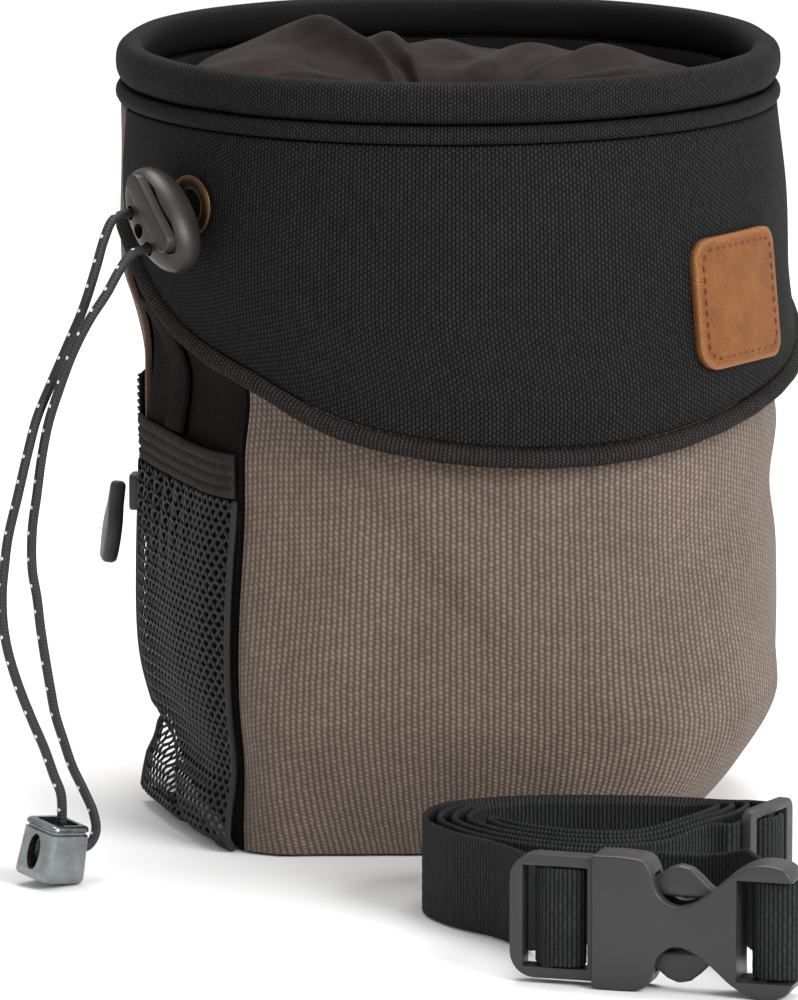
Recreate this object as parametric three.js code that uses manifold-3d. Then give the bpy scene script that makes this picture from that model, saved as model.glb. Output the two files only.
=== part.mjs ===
// A climber's chalk bag standing on its base, with its waist belt coiled in front of it.
// Millimetres, +Z up. The origin is on the floor, under the middle of the body, and -Y is the front.
// Angles on the bag are in degrees from the front, and positive angles turn towards +X.
import * as THREE from 'three';
import { mergeVertices } from 'three/addons/utils/BufferGeometryUtils.js';
import Module from 'manifold-3d';

const wasm = await Module();
wasm.setup();

// Body of the bag
const bagHeight = 165.5;
const bodyHalfWidth = 67.6;
const bodyHalfDepth = 66.2;
const rimFlare = 1.8;
const rimLean = -3.6;
const footLean = -1;
const baseTuck = 16.5;
const tuckHeight = 30;
const tuckPower = 1.6;
const baseSquareness = 3;
const rimSquareness = 2;
const backSquareness = 2.25;
const sidePanelDepth = 62.6;
const sideMiddle = -68;

// Cloth and clearances
const canvasWall = 1.5;
const liningWall = 1.2;
const collarWall = 1.7;
const gap = 0.3;
const layerGap = 1;
const seamSoftness = 1.2;
const underCollar = 1.6;
const baseWall = 1.6;

// Seams round the body, in degrees
const frontSeam = -43;
const collarStart = -78;
const collarEnd = 108;
const pocketBackSeam = -92;
const seamGap = 0.5;

// Rim, flat rim tape and collar
const rollHeight = 8.6;
const rollThickness = 5.8;
const rollSquareness = 0.75;
const rollProud = 0.5;
const tapeHeight = 3.6;
const tapeThickness = 2;
const tapeProud = 0.4;
const tapeCrown = 0.5;
const rimStandOff = { wide: 2, deep: 2.8 };
const hemStandOff = { wide: 3.6, deep: 4.2 };
const collarTopHalfWidth = bodyHalfWidth + rimStandOff.wide;
const collarLowHalfWidth = bodyHalfWidth + hemStandOff.wide;
const collarTopHalfDepth = bodyHalfDepth + rimStandOff.deep;
const collarLowHalfDepth = bodyHalfDepth + hemStandOff.deep;
const collarPuff = 1.7;
const hemLowest = 85;
const hemOverlap = 9;
const pipingRadius = 2;
const pipingSunk = 0.3;

// Side panel, its tape, elastic and net pocket
const elasticHeight = 9.4;
const elasticTop = 84.5;
const elasticWall = 1.3;
const elasticRibs = 4;
const elasticRibShare = 0.35;
const netWall = 0.9;
const netBulge = 3.6;
const netColumns = 6;
const netRows = 10;
const netStrand = 0.2;
const netCrowding = 1.2;
const sideTapeWall = 1.1;
const sideTapeStart = -76;
const sideTapeEnd = -67;

// Gathered inner sleeve
const sleeveWall = 1.2;
const sleeveNeck = 12;
const sleeveSeat = 0.9063 * bagHeight;
const sleeveRise = 11;
const sleeveGathers = 11;
const gatherDepth = 1.1;

// Leather patch
const patchAngle = 55.5;
const patchHeight = 0.7045 * bagHeight;
const patchWide = 29;
const patchTall = 27.5;
const patchCorner = 4.5;
const patchWall = 1.6;

// Belt loop on the back
const loopWide = 26;
const loopTall = 42;
const loopWall = 1.6;
const loopClear = 5.4;
const loopMiddle = 0.4411 * bagHeight;
const loopSettle = 0.85;
const loopFoot = 7;
const loopHem = 3;

// Cord lock, eyelet and drawcord
const eyeletAngle = -49;
const eyeletHeight = 0.8278 * bagHeight;
const eyeletOuter = 6.4;
const eyeletInner = 3.4;
const eyeletProud = 1.3;
const eyeletLift = 0.5;
const eyeletBevel = 0.8;
const lockAngle = -49.9;
const lockHeight = 0.8121 * bagHeight;
const lockProud = 6;
const lockLong = 25;
const lockWide = 14.5;
const lockDeep = 9.6;
const lockStandOff = 1.8;
const lockEdge = 2.4;
const lockTurn = -52;
const lockLean = 42;
const lockHolePitch = 4.6;
const lockHoleAside = -3.3;
const lockHoleRadius = 1.5;
const buttonLong = 19;
const buttonWide = 4.4;
const buttonAside = 2.5;
const buttonProud = 1.4;
const buttonSunk = 1.6;
const cordDiameter = 2;
const cordSides = 8;
const cordSteps = 27;
const cubeWide = 10;
const cubeTall = 12.2;
const cubeWall = 1.6;
const cubeTilt = 10;
const cubeTurn = 41;
const cubeBevel = 0.9;
const cubeCorner = 1.2;
const cubeHole = 1.9;
const cubeHoleStretch = 2;
const cubeRoll = 1.25;
const cubeFromLock = { x: -25, y: -30.7 };

// Waist belt, buckle and slider
const strapWidth = 20;
const strapWall = 1.3;
const strapMitre = 1.35;
const coilCentre = { x: 27, y: -104 };
const coilLeft = 36.8;
const coilRight = 37;
const coilBack = 20;
const coilFront = 36;
const coilLaps = 2.1;
const sidePitch = 3;
const backPitch = 2;
const frontPitch = 4.2;
const buckleTall = 27;
const buckleDeep = 8.8;
const buckleTurn = -16.5;
const buckleFromCoil = { x: -18.4, y: -62 };
const frameLong = 17;
const frameTall = 25;
const frameCorner = 5;
const frameDeep = 4.6;
const frameRail = 2.6;
const barAt = 10.6;
const barWide = 4.4;
const barDeep = 2.6;
const prongDeep = 3.4;
const guideLong = 18;
const guideTall = 3;
const socketTall = 20.2;
const socketEnd = 43.4;
const endBarAt = 54;
const endBarWide = 4;
const sliderTall = 24.6;
const sliderLong = 18;
const sliderDeep = 2.2;
const sliderBar = 2.6;

// Zip at the back edge of the side panel
const zipAngle = -99;
const zipTop = 92;
const zipBottom = 56;
const zipWide = 7;
const zipWall = 1.2;
const zipSliderUp = 10;
const zipSliderWide = 5;
const zipSliderTall = 8;
const zipSliderDeep = 2.2;
const pullLong = 18;
const pullNeck = 1.3;
const pullWaist = 2;
const pullBulb = 4.6;
const pullDeep = 3.4;
const pullLean = 8;
const pullTwist = 20;

// Hem of the collar: the height of its lower edge round the bag, as shares of the bag's height.
const hem = [
  { angle: -78, height: 0.768 },
  { angle: -72, height: 0.742 },
  { angle: -64, height: 0.697 },
  { angle: -56, height: 0.655 },
  { angle: -50, height: 0.633 },
  { angle: -44, height: 0.616 },
  { angle: -37, height: 0.6 },
  { angle: -30, height: 0.574 },
  { angle: -22, height: 0.55 },
  { angle: -12, height: 0.534 },
  { angle: 0, height: 0.521 },
  { angle: 12, height: 0.515 },
  { angle: 24, height: 0.514 },
  { angle: 38, height: 0.522 },
  { angle: 52, height: 0.54 },
  { angle: 66, height: 0.56 },
  { angle: 80, height: 0.58 },
  { angle: 94, height: 0.61 },
  { angle: 108, height: 0.65 },
];

// How far the base is tucked in round the bag, as shares of the full tuck.
const tucks = [
  { angle: -180, tuck: 0.75 },
  { angle: -100, tuck: 0.7 },
  { angle: -80, tuck: 0.6 },
  { angle: -62, tuck: 0.35 },
  { angle: -48, tuck: 0.06 },
  { angle: -42, tuck: 0.1 },
  { angle: -36, tuck: 0.36 },
  { angle: -29, tuck: 0.62 },
  { angle: -18, tuck: 0.76 },
  { angle: 10, tuck: 0.85 },
  { angle: 40, tuck: 1.08 },
  { angle: 62, tuck: 1.25 },
  { angle: 82, tuck: 1.1 },
  { angle: 115, tuck: 0.95 },
  { angle: 180, tuck: 0.75 },
];

// Soft dents of the canvas: middle, half sizes along and across, turn of the long way, and depth.
// Heights and sizes are shares of the bag's height, and depths are shares of the tucked base.
const dents = [
  { angle: 88, height: 0.43, long: 0.16, wide: 0.05, turn: 0, depth: 0.09 },
  { angle: -10, height: 0.39, long: 0.17, wide: 0.045, turn: -48, depth: 0.08 },
  { angle: 30, height: 0.25, long: 0.2, wide: 0.06, turn: 35, depth: 0.06 },
  { angle: -32, height: 0.3, long: 0.14, wide: 0.05, turn: 70, depth: 0.05 },
  { angle: 236, height: 0.35, long: 0.2, wide: 0.07, turn: 20, depth: 0.08 },
  { angle: -74, height: 0.11, long: 0.24, wide: 0.07, turn: 0, depth: 0.24 },
];

// Section of the net pocket from its foot to the elastic: share of its height, and of its full reach.
const pocketSection = [
  { height: 0, out: 0 },
  { height: 0.012, out: 0.8 },
  { height: 0.05, out: 1.2 },
  { height: 0.12, out: 1.1 },
  { height: 0.22, out: 0.6 },
  { height: 0.34, out: 0.8 },
  { height: 0.6, out: 1 },
  { height: 0.84, out: 0.85 },
  { height: 1, out: 0.3 },
];

// The pocket's fullness from its back edge to its front edge, as a share of its bulge.
const pocketFullness = [
  { across: 0, out: 0.1 },
  { across: 0.1, out: 0.3 },
  { across: 0.3, out: 0.5 },
  { across: 0.6, out: 0.95 },
  { across: 0.86, out: 1 },
  { across: 1, out: 0.25 },
];

// Big folds of the gathered sleeve: where each stands, and how far it rises, as a share of its rise.
const sleeveFolds = [
  { angle: 0, rise: 0.5 },
  { angle: 40, rise: 0.62 },
  { angle: 75, rise: 0.66 },
  { angle: 110, rise: 0.78 },
  { angle: 138, rise: 0.8 },
  { angle: 160, rise: 0.62 },
  { angle: 180, rise: 0.98 },
  { angle: 196, rise: 0.72 },
  { angle: 217, rise: 1.35 },
  { angle: 240, rise: 1.05 },
  { angle: 262, rise: 0.9 },
  { angle: 290, rise: 0.7 },
  { angle: 325, rise: 0.6 },
  { angle: 360, rise: 0.5 },
];

// Section of the sleeve from the wall to its neck: shares of the way in, and of the rise.
const sleeveSection = [
  { inward: 0, rise: 0.0 },
  { inward: 0.1, rise: 0.6 },
  { inward: 0.28, rise: 0.9 },
  { inward: 0.5, rise: 1.0 },
  { inward: 0.8, rise: 0.65 },
  { inward: 0.96, rise: -0.1 },
  { inward: 1, rise: -1.1 },
];

// Routes of the two strands of the drawcord, down to the metal cord end: x and y from the lock's seat,
// and the height as a share of the lock's.
const upperStrand = [
  [-5, 3.2, 1.0089], [-9.3, -0.3, 1.0089], [-11.8, -2.4, 1.0015], [-13.6, -4.8, 0.9732],
  [-15.3, -7.4, 0.9301], [-17.9, -9.2, 0.8705], [-20.9, -10.2, 0.8185], [-24.9, -13.2, 0.7515],
  [-27.4, -14.7, 0.7068], [-29.4, -16.2, 0.651], [-31.4, -18.2, 0.5878], [-33.4, -19.2, 0.5246],
  [-34.1, -20.2, 0.4836], [-34.6, -21.2, 0.4427], [-34.4, -22.7, 0.3981], [-33.6, -23.7, 0.3609],
  [-32.2, -24.7, 0.3237], [-30.4, -25.7, 0.2865], [-28.1, -26.7, 0.2455], [-25.7, -27.7, 0.2046],
  [-23.9, -28.7, 0.1674], [-22.4, -29.2, 0.1376], [-22.2, -29.5, 0.0893],
];
const lowerStrand = [
  [-1.2, -1.7, 0.9583], [-5.5, -5.2, 0.9583], [-8, -7.4, 0.9524], [-10.2, -10.2, 0.933],
  [-12.8, -13.2, 0.9003], [-16.6, -15.8, 0.8586], [-20, -16.6, 0.808], [-22.8, -16.2, 0.7515],
  [-24.9, -15.6, 0.7024], [-26.4, -15.8, 0.6473], [-27.4, -17.2, 0.5915], [-28.4, -17.7, 0.5357],
  [-28.4, -19.2, 0.4762], [-27.4, -20.2, 0.4315], [-26.7, -21, 0.3869], [-25.8, -21.7, 0.3423],
  [-24.8, -22.2, 0.2976], [-23.7, -22.6, 0.253], [-22, -23, 0.2121], [-20.2, -23, 0.1711],
  [-17.9, -22.8, 0.1339], [-15.9, -23, 0.0982], [-15.4, -23.6, 0.0699], [-16.8, -24.8, 0.0506],
  [-19.8, -26.8, 0.0461],
];

// Small helpers for numbers and tables.
const radians = THREE.MathUtils.degToRad;
const mix = THREE.MathUtils.lerp;
const ease = THREE.MathUtils.smoothstep;
const square = (value) => value * value;

function readTable(rows, key, at, column) {
  const last = rows.length - 1;
  if (at <= rows[0][key]) return rows[0][column];
  if (at >= rows[last][key]) return rows[last][column];
  const next = rows.findIndex((row) => row[key] > at);
  const from = rows[next - 1];
  const to = rows[next];
  return mix(from[column], to[column], (at - from[key]) / (to[key] - from[key]));
}

// Shape of the body: the outside of the canvas at an angle and a height.
function superRadius(halfWidth, halfDepth, power, angle) {
  const across = Math.abs(Math.sin(radians(angle))) / halfWidth;
  const along = Math.abs(Math.cos(radians(angle))) / halfDepth;
  return (across ** power + along ** power) ** (-1 / power);
}

function softLeast(a, b) {
  const least = Math.min(a, b);
  const spread = Math.exp(-Math.abs(a - b) / seamSoftness);
  return least - seamSoftness * Math.log(1 + (Math.abs(a - b) > 8 * seamSoftness ? 0 : spread));
}

function dentAt(angle, height) {
  let depth = 0;
  for (const dent of dents) {
    const across = radians(turnFrom(angle, dent.angle)) * bodyHalfWidth;
    const up = height - dent.height * bagHeight;
    const cos = Math.cos(radians(dent.turn));
    const sin = Math.sin(radians(dent.turn));
    const long = (across * cos + up * sin) / (dent.long * bagHeight);
    const wide = (up * cos - across * sin) / (dent.wide * bagHeight);
    depth += dent.depth * baseTuck * Math.exp(-square(long) - square(wide));
  }
  return depth;
}

const leanLow = 0.58 * bagHeight;
const leanHigh = 0.72 * bagHeight;
const squareTop = 0.46 * bagHeight;
const bodyCentre = (height) => mix(footLean, rimLean, ease(height, leanLow, leanHigh));
const turnFrom = (angle, from) => ((angle - from + 540) % 360) - 180;

function tuckAt(angle, height) {
  const share = readTable(tucks, 'angle', turnFrom(angle, 0), 'tuck');
  return baseTuck * share * Math.max(0, 1 - height / tuckHeight) ** tuckPower;
}

// The rim is rounder in front than at the back.
const rimPower = (angle) =>
  mix(rimSquareness, backSquareness, ease(-Math.cos(radians(angle)), 0, 0.5));

function bodyRadius(angle, height) {
  const rise = ease(height, leanLow, leanHigh);
  const tuck = tuckAt(angle, height);
  const grow = rimFlare * rise - tuck;
  const power = mix(baseSquareness, rimPower(angle), ease(height, 0, squareTop));
  const depthGrow = grow + rise * (bodyHalfWidth - bodyHalfDepth);
  const round = superRadius(bodyHalfWidth + grow, bodyHalfDepth + depthGrow, power, angle);
  const away = turnFrom(angle, sideMiddle);
  const flat = Math.abs(away) > 60 ? round : (sidePanelDepth - tuck) / Math.cos(radians(away));
  const panel = mix(softLeast(round, flat), round, rise);
  return panel - dentAt(angle, height);
}

function point(angle, radius, height, centre) {
  const x = centre + radius * Math.sin(radians(angle));
  const y = -radius * Math.cos(radians(angle));
  return new THREE.Vector3(x, y, height);
}

const onBody = (angle, height, out) =>
  point(angle, bodyRadius(angle, height) + out, height, bodyCentre(height));

// Shape of the collar, which stands a little proud of the canvas at its hem.
const tapeTop = bagHeight - rollHeight;
const tapeLow = tapeTop - tapeHeight - gap;
const hemAt = (angle) => readTable(hem, 'angle', angle, 'height') * bagHeight;

function onCollar(angle, height, out) {
  const up = (height - hemLowest) / (tapeLow - hemLowest);
  const wide = mix(collarLowHalfWidth, collarTopHalfWidth, up);
  const deep = mix(collarLowHalfDepth, collarTopHalfDepth, up);
  const puff = collarPuff * Math.sin(Math.PI * THREE.MathUtils.clamp(up, 0, 1)) * ease(angle, -60, 20);
  const radius = superRadius(wide, deep, rimPower(angle), angle) + puff;
  return point(angle, radius + out, height, bodyCentre(height));
}

// Geometry helpers: bend a plate, spin a ring, and cut or join closed solids.
function closed(geometry) {
  geometry.deleteAttribute('normal');
  geometry.deleteAttribute('uv');
  const merged = mergeVertices(geometry, 1e-3);
  const index = [];
  for (let i = 0; i < merged.index.count; i += 3) {
    const [a, b, c] = [0, 1, 2].map((k) => merged.index.getX(i + k));
    if (a !== b && b !== c && c !== a) index.push(a, b, c);
  }
  merged.setIndex(index);
  return merged;
}

function bend(columns, rows, placeAt) {
  const geometry = new THREE.BoxGeometry(1, 1, 1, columns, rows, 1);
  const spots = geometry.attributes.position;
  for (let i = 0; i < spots.count; i += 1) {
    const spot = placeAt(spots.getX(i) + 0.5, spots.getY(i) + 0.5, spots.getZ(i) + 0.5);
    spots.setXYZ(i, spot.x, spot.y, spot.z);
  }
  return closed(geometry);
}

function spin(profile, sides, placeAt) {
  const geometry = new THREE.LatheGeometry(profile, sides).rotateX(Math.PI / 2);
  const spots = geometry.attributes.position;
  for (let i = 0; i < spots.count; i += 1) {
    const radius = Math.hypot(spots.getX(i), spots.getY(i));
    const angle = THREE.MathUtils.radToDeg(Math.atan2(spots.getX(i), -spots.getY(i)));
    const spot = placeAt(angle, radius, spots.getZ(i));
    spots.setXYZ(i, spot.x, spot.y, spot.z);
  }
  return closed(geometry);
}

function toSolid(geometry) {
  const merged = closed(geometry.clone());
  const vertProperties = new Float32Array(merged.attributes.position.array);
  const triVerts = new Uint32Array(merged.index.array);
  return new wasm.Manifold(new wasm.Mesh({ numProp: 3, vertProperties, triVerts }));
}

function toGeometry(solid) {
  const mesh = solid.getMesh();
  const geometry = new THREE.BufferGeometry();
  geometry.setAttribute('position', new THREE.BufferAttribute(mesh.vertProperties, 3));
  geometry.setIndex(new THREE.BufferAttribute(mesh.triVerts, 1));
  return geometry;
}

function extrude(shape, depth, edge = 0, steps = 5, rings = 1) {
  return new THREE.ExtrudeGeometry(shape, {
    depth: depth - 2 * edge,
    bevelEnabled: edge > 0,
    bevelThickness: edge,
    bevelSize: edge,
    bevelOffset: -edge,
    bevelSegments: rings,
    curveSegments: steps,
  }).translate(0, 0, edge);
}

function tube(points, radius, sides, steps) {
  const section = new THREE.Shape();
  for (let i = 0; i < sides; i += 1) {
    const angle = (i / sides) * Math.PI * 2;
    const move = i === 0 ? 'moveTo' : 'lineTo';
    section[move](radius * Math.cos(angle), radius * Math.sin(angle));
  }
  section.closePath();
  const path = new THREE.CatmullRomCurve3(points, false, 'centripetal');
  return closed(new THREE.ExtrudeGeometry(section, { steps, extrudePath: path }));
}

function roundedRectangle(wide, tall, corner) {
  const x = wide / 2;
  const y = tall / 2;
  const shape = new THREE.Shape();
  shape.moveTo(corner - x, -y);
  shape.lineTo(x - corner, -y);
  shape.absarc(x - corner, corner - y, corner, -Math.PI / 2, 0);
  shape.lineTo(x, y - corner);
  shape.absarc(x - corner, y - corner, corner, 0, Math.PI / 2);
  shape.lineTo(corner - x, y);
  shape.absarc(corner - x, y - corner, corner, Math.PI / 2, Math.PI);
  shape.lineTo(-x, corner - y);
  shape.absarc(corner - x, corner - y, corner, Math.PI, Math.PI * 1.5);
  return shape;
}

const box = (wide, deep, tall, x, y, z) =>
  new THREE.BoxGeometry(wide, deep, tall).translate(x, y, z);

// Colours and finishes.
const finish = (color, roughness, metalness = 0) =>
  new THREE.MeshStandardMaterial({ color, roughness, metalness });
const canvas = finish('#7d6b5f', 0.95);
const backCanvas = finish('#6a5146', 0.95);
const blackCloth = finish('#2b2b2b', 0.9);
const liningCloth = finish('#1a1a1b', 0.9);
const pipingCloth = finish('#464443', 0.85);
const sideCloth = finish('#2c2826', 0.92);
const elasticCloth = finish('#3b3733', 0.9);
const netCloth = finish('#1f2022', 0.8);
const sleeveCloth = finish('#4b3d39', 0.9);
const leather = finish('#a96a32', 0.65);
const webbing = finish('#2b2c2c', 0.85);
const blackPlastic = finish('#3a3a3a', 0.5);
const lockPlastic = finish('#3b3733', 0.55);
const brass = finish('#8a6a48', 0.5, 0.6);
const metal = finish('#7d8282', 0.3, 1);
const cordCloth = finish('#1c1c1e', 0.8);

const bag = new THREE.Group();

function add(name, geometry, material, group = bag) {
  const mesh = new THREE.Mesh(geometry, material);
  mesh.name = name;
  group.add(mesh);
  return mesh;
}

// Heights of a wall's rows: close together where the base curves in, as shares of the bag's height.
const wallShares = [0.03, 0.075, 0.125, 0.18, 0.29, 0.42, 0.5, 0.58, 0.68, 0.78];
const rowRoom = 1.5;

function wallHeights(foot, top, rows) {
  const shares = wallShares.slice(0, rows);
  const low = shares.map((share, i) => Math.min(share * bagHeight, top - (rows - i) * rowRoom));
  return [foot, ...low, top];
}

// Panels round the body
const canvasFoot = gap;

function wallPanel(columns, rows, startAt, endAt, topAt, tuckIn) {
  return bend(columns, rows + 1, (across, up, out) => {
    const near = mix(startAt(bagHeight), endAt(bagHeight), across);
    const height = wallHeights(canvasFoot, topAt(near), rows)[Math.round(up * (rows + 1))];
    const angle = mix(startAt(height), endAt(height), across);
    const inset = tuckIn * underCollar * ease(height, 0.5 * bagHeight, leanLow);
    return onBody(angle, height, (out - 1) * canvasWall - inset);
  });
}

const leanShare = (height) => THREE.MathUtils.clamp((height - leanLow) / (leanHigh - leanLow), 0, 1);
const sideBack = (height) => mix(pocketBackSeam, collarStart, leanShare(height));
const underHem = (angle) => hemAt(angle) + hemOverlap;

const backEnd = (height) => 360 + sideBack(height) - seamGap;
add('front_canvas', wallPanel(20, 8, () => frontSeam, () => collarEnd, underHem, 1), canvas);
add('side_panel', wallPanel(6, 10, sideBack, () => frontSeam - seamGap, underHem, 1), sideCloth);
add('back_panel', wallPanel(17, 10, () => collarEnd + seamGap, backEnd, () => tapeLow - gap, 0), backCanvas);

// Base
const baseEdge = (angle) => bodyRadius(angle, canvasFoot) - canvasWall - layerGap;
const baseProfile = [[0, 0], [1, 0], [1, baseWall], [0, baseWall]].map(([r, z]) => new THREE.Vector2(r, z));
add('base_panel', spin(baseProfile, 32, (angle, share, height) =>
  point(angle, share * baseEdge(angle), height, footLean)), canvas);

// Lining, a hollow bucket that stands on the base
const liningFoot = baseWall + gap;
const liningTop = tapeTop - gap;

function liningProfile() {
  const heights = wallHeights(liningFoot, liningTop, wallShares.length);
  const floor = liningFoot + liningWall;
  const outside = heights.map((height) => new THREE.Vector2(1, height));
  const coarse = heights.filter((_, i) => i % 2 === 1 && i !== 3);
  const inside = coarse.reverse().map((height) => new THREE.Vector2(2, height));
  return [new THREE.Vector2(0, liningFoot), ...outside, ...inside,
    new THREE.Vector2(2, floor), new THREE.Vector2(0, floor)];
}

const liningOutside = (angle, height) =>
  bodyRadius(angle, height) - canvasWall - layerGap - underCollar * ease(height, 0.45 * bagHeight, leanLow);

add('lining', spin(liningProfile(), 36, (angle, layer, height) => {
  const outside = liningOutside(angle, height);
  const inset = layer > 1.5 ? liningWall : 0;
  const radius = layer < 0.5 ? 0 : outside - inset;
  return point(angle, radius, height, bodyCentre(height));
}), liningCloth);

// Collar and its piping
const pipingHigh = 2 * pipingRadius;
const collarFoot = (angle) => hemAt(angle) + pipingHigh + 2 * gap;

add('collar', bend(26, 4, (across, up, out) => {
  const angle = mix(collarStart, collarEnd, across);
  const height = mix(collarFoot(angle), tapeLow - gap, up);
  return onCollar(angle, height, (out - 1) * collarWall);
}), blackCloth);

function hemLine(count) {
  return Array.from({ length: count + 1 }, (_, i) => {
    const angle = mix(collarStart, collarEnd, i / count);
    return onCollar(angle, hemAt(angle) + pipingRadius, -pipingSunk);
  });
}

add('collar_piping', tube(hemLine(24), pipingRadius, 6, 32), pipingCloth);

// Flat tape and padded roll round the rim
const rimRadius = (angle) =>
  superRadius(collarTopHalfWidth, collarTopHalfDepth, rimPower(angle), angle);

function rimRing(profile, sides) {
  return spin(profile, sides, (angle, radius, height) =>
    point(angle, rimRadius(angle) + radius - collarTopHalfWidth, height, rimLean));
}

function tapeProfile() {
  const out = collarTopHalfWidth + tapeProud;
  const inner = out - tapeThickness;
  return [[inner, tapeLow], [out, tapeLow], [out + tapeCrown, tapeLow + tapeHeight / 2],
    [out, tapeLow + tapeHeight], [inner, tapeLow + tapeHeight], [inner, tapeLow]];
}

function rollProfile() {
  const middle = collarTopHalfWidth + rollProud - rollThickness / 2;
  const sides = 8;
  return Array.from({ length: sides + 1 }, (_, i) => {
    const angle = -Math.PI / 2 + ((i % sides) / sides) * Math.PI * 2;
    const flatten = (value) => Math.sign(value) * Math.abs(value) ** rollSquareness;
    const out = (rollThickness / 2) * flatten(Math.cos(angle));
    return [middle + out, tapeTop + (rollHeight / 2) * (1 + flatten(Math.sin(angle)))];
  });
}

const rimSides = 36;
const toPoints = (pairs) => pairs.map(([r, z]) => new THREE.Vector2(r, z));
add('rim_tape', rimRing(toPoints(tapeProfile()), rimSides), blackCloth);
add('rim_roll', rimRing(toPoints(rollProfile()), rimSides), blackCloth);

// Gathered sleeve inside the mouth
function sleeveProfile() {
  const top = sleeveSection.map((_, i) => new THREE.Vector2(1, i));
  const under = sleeveSection.map((_, i) => new THREE.Vector2(2, sleeveSection.length - 1 - i));
  return [...under, ...top, new THREE.Vector2(2, sleeveSection.length - 1)];
}

function sleeveSpot(angle, side, row) {
  const section = sleeveSection[Math.round(row)];
  const turned = (angle + 360) % 360;
  const outer = liningOutside(angle, sleeveSeat) - liningWall - 4 * gap;
  const lump = readTable(sleeveFolds, 'angle', turned, 'rise');
  const ripple = gatherDepth * section.inward * Math.cos(radians(sleeveGathers * turned));
  const away = side > 1.5 ? sleeveWall : 0;
  const radius = mix(outer, sleeveNeck, section.inward) - (section.inward > 0.9 ? -away : 0);
  const height = sleeveSeat + section.rise * sleeveRise * lump + (section.rise > 0 ? ripple : 0);
  return point(angle, radius, height - (section.inward > 0.9 ? 0 : away), bodyCentre(sleeveSeat));
}

add('inner_sleeve', spin(sleeveProfile(), 3 * sleeveGathers, sleeveSpot), sleeveCloth);

// Leather patch on the collar
function patchHalfWidth(up) {
  const past = Math.max(0, Math.abs(up) - (patchTall / 2 - patchCorner));
  return patchWide / 2 - patchCorner + Math.sqrt(Math.max(0, square(patchCorner) - square(past)));
}

const patchRows = [0, 0.04, 0.1, 0.17, 0.5, 0.83, 0.9, 0.96, 1];

add('leather_patch', bend(6, patchRows.length - 1, (across, up, out) => {
  const height = (patchRows[Math.round(up * (patchRows.length - 1))] - 0.5) * patchTall;
  const aside = (across - 0.5) * 2 * patchHalfWidth(height);
  const angle = patchAngle + THREE.MathUtils.radToDeg(aside / collarLowHalfWidth);
  return onCollar(angle, patchHeight + height, gap + out * patchWall);
}), leather);

// Side panel's upright tape and the elastic over the pocket
add('side_tape', bend(2, 3, (across, up, out) => {
  const angle = mix(sideTapeStart, sideTapeEnd, across);
  const top = hemAt(sideTapeEnd) - pipingHigh;
  const height = wallHeights(0, top, 9).slice(-4)[Math.round(up * 3)];
  const inset = underCollar * ease(height, 0.5 * bagHeight, leanLow);
  return onBody(angle, Math.max(height, elasticTop + gap), 2 * gap + out * sideTapeWall - inset);
}), sideCloth);

const elasticFoot = elasticTop - elasticHeight;
const pocketReach = (across, out) =>
  netBulge * readTable(pocketFullness, 'across', across, 'out') * out;

add('elastic_band', bend(6, 2 * elasticRibs, (across, up, out) => {
  const angle = mix(pocketBackSeam, frontSeam - 1, across);
  const rib = 1 - elasticRibShare * (Math.round(up * 2 * elasticRibs) % 2 === 0 ? 1 : 0);
  const reach = pocketReach(across, 0.5);
  return onBody(angle, mix(elasticFoot, elasticTop, up), reach + gap + out * elasticWall * rib);
}), elasticCloth);

// Net pocket, a bulging mesh that is open through its diamonds
function pocketSpot(across, up, out) {
  const height = mix(canvasFoot + gap, elasticFoot - gap, up);
  const angle = mix(pocketBackSeam, frontSeam - 1, across);
  const share = readTable(pocketSection, 'height', up, 'out');
  const reach = tuckAt(angle, height) * Math.min(1, share) + pocketReach(across, share);
  return onBody(angle, height, layerGap + reach + out * netWall);
}

function netSheet(columns, rows, placeAt) {
  const spots = [];
  const faces = [];
  const spot = (across, up, out) => spots.push(...placeAt(across, up, out).toArray()) / 3 - 1;
  const rowAt = (share) => share ** netCrowding;

  function cell(column, row) {
    const left = column / columns;
    const right = (column + 1) / columns;
    const low = rowAt(row / rows);
    const high = rowAt((row + 1) / rows);
    const middle = (left + right) / 2;
    const half = (low + high) / 2;
    const inX = (right - left) * netStrand;
    const inY = (high - low) * netStrand;
    const corners = [[left, low], [right, low], [right, high], [left, high]];
    const holes = [[middle, low + inY], [right - inX, half], [middle, high - inY], [left + inX, half]];
    const ring = (out) => [...corners, ...holes].map(([across, up]) => spot(across, up, out));
    return { outer: ring(1), inner: ring(0) };
  }

  const quad = (a, b, c, d) => faces.push(a, b, c, a, c, d);
  for (let column = 0; column < columns; column += 1) {
    for (let row = 0; row < rows; row += 1) {
      const { outer, inner } = cell(column, row);
      const edges = [row === 0, column === columns - 1, row === rows - 1, column === 0];
      for (let k = 0; k < 4; k += 1) {
        const next = (k + 1) % 4;
        faces.push(outer[k], outer[next], outer[4 + k]);
        faces.push(outer[next], outer[4 + next], outer[4 + k]);
        faces.push(inner[k], inner[4 + k], inner[next]);
        faces.push(inner[next], inner[4 + k], inner[4 + next]);
        quad(outer[4 + k], outer[4 + next], inner[4 + next], inner[4 + k]);
        if (edges[k]) quad(outer[next], outer[k], inner[k], inner[next]);
      }
    }
  }
  const geometry = new THREE.BufferGeometry();
  geometry.setAttribute('position', new THREE.BufferAttribute(new Float32Array(spots), 3));
  geometry.setIndex(faces);
  return closed(geometry);
}

add('mesh_pocket', netSheet(netColumns, netRows, pocketSpot), netCloth);

// Zip at the back edge of the side: tape, slider and pull
add('zip_tape', bend(2, 3, (across, up, out) => {
  const angle = zipAngle + THREE.MathUtils.radToDeg(((across - 0.5) * zipWide) / bodyHalfWidth);
  return onBody(angle, mix(zipBottom, zipTop, up), 2 * gap + out * zipWall);
}), blackCloth);

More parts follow.
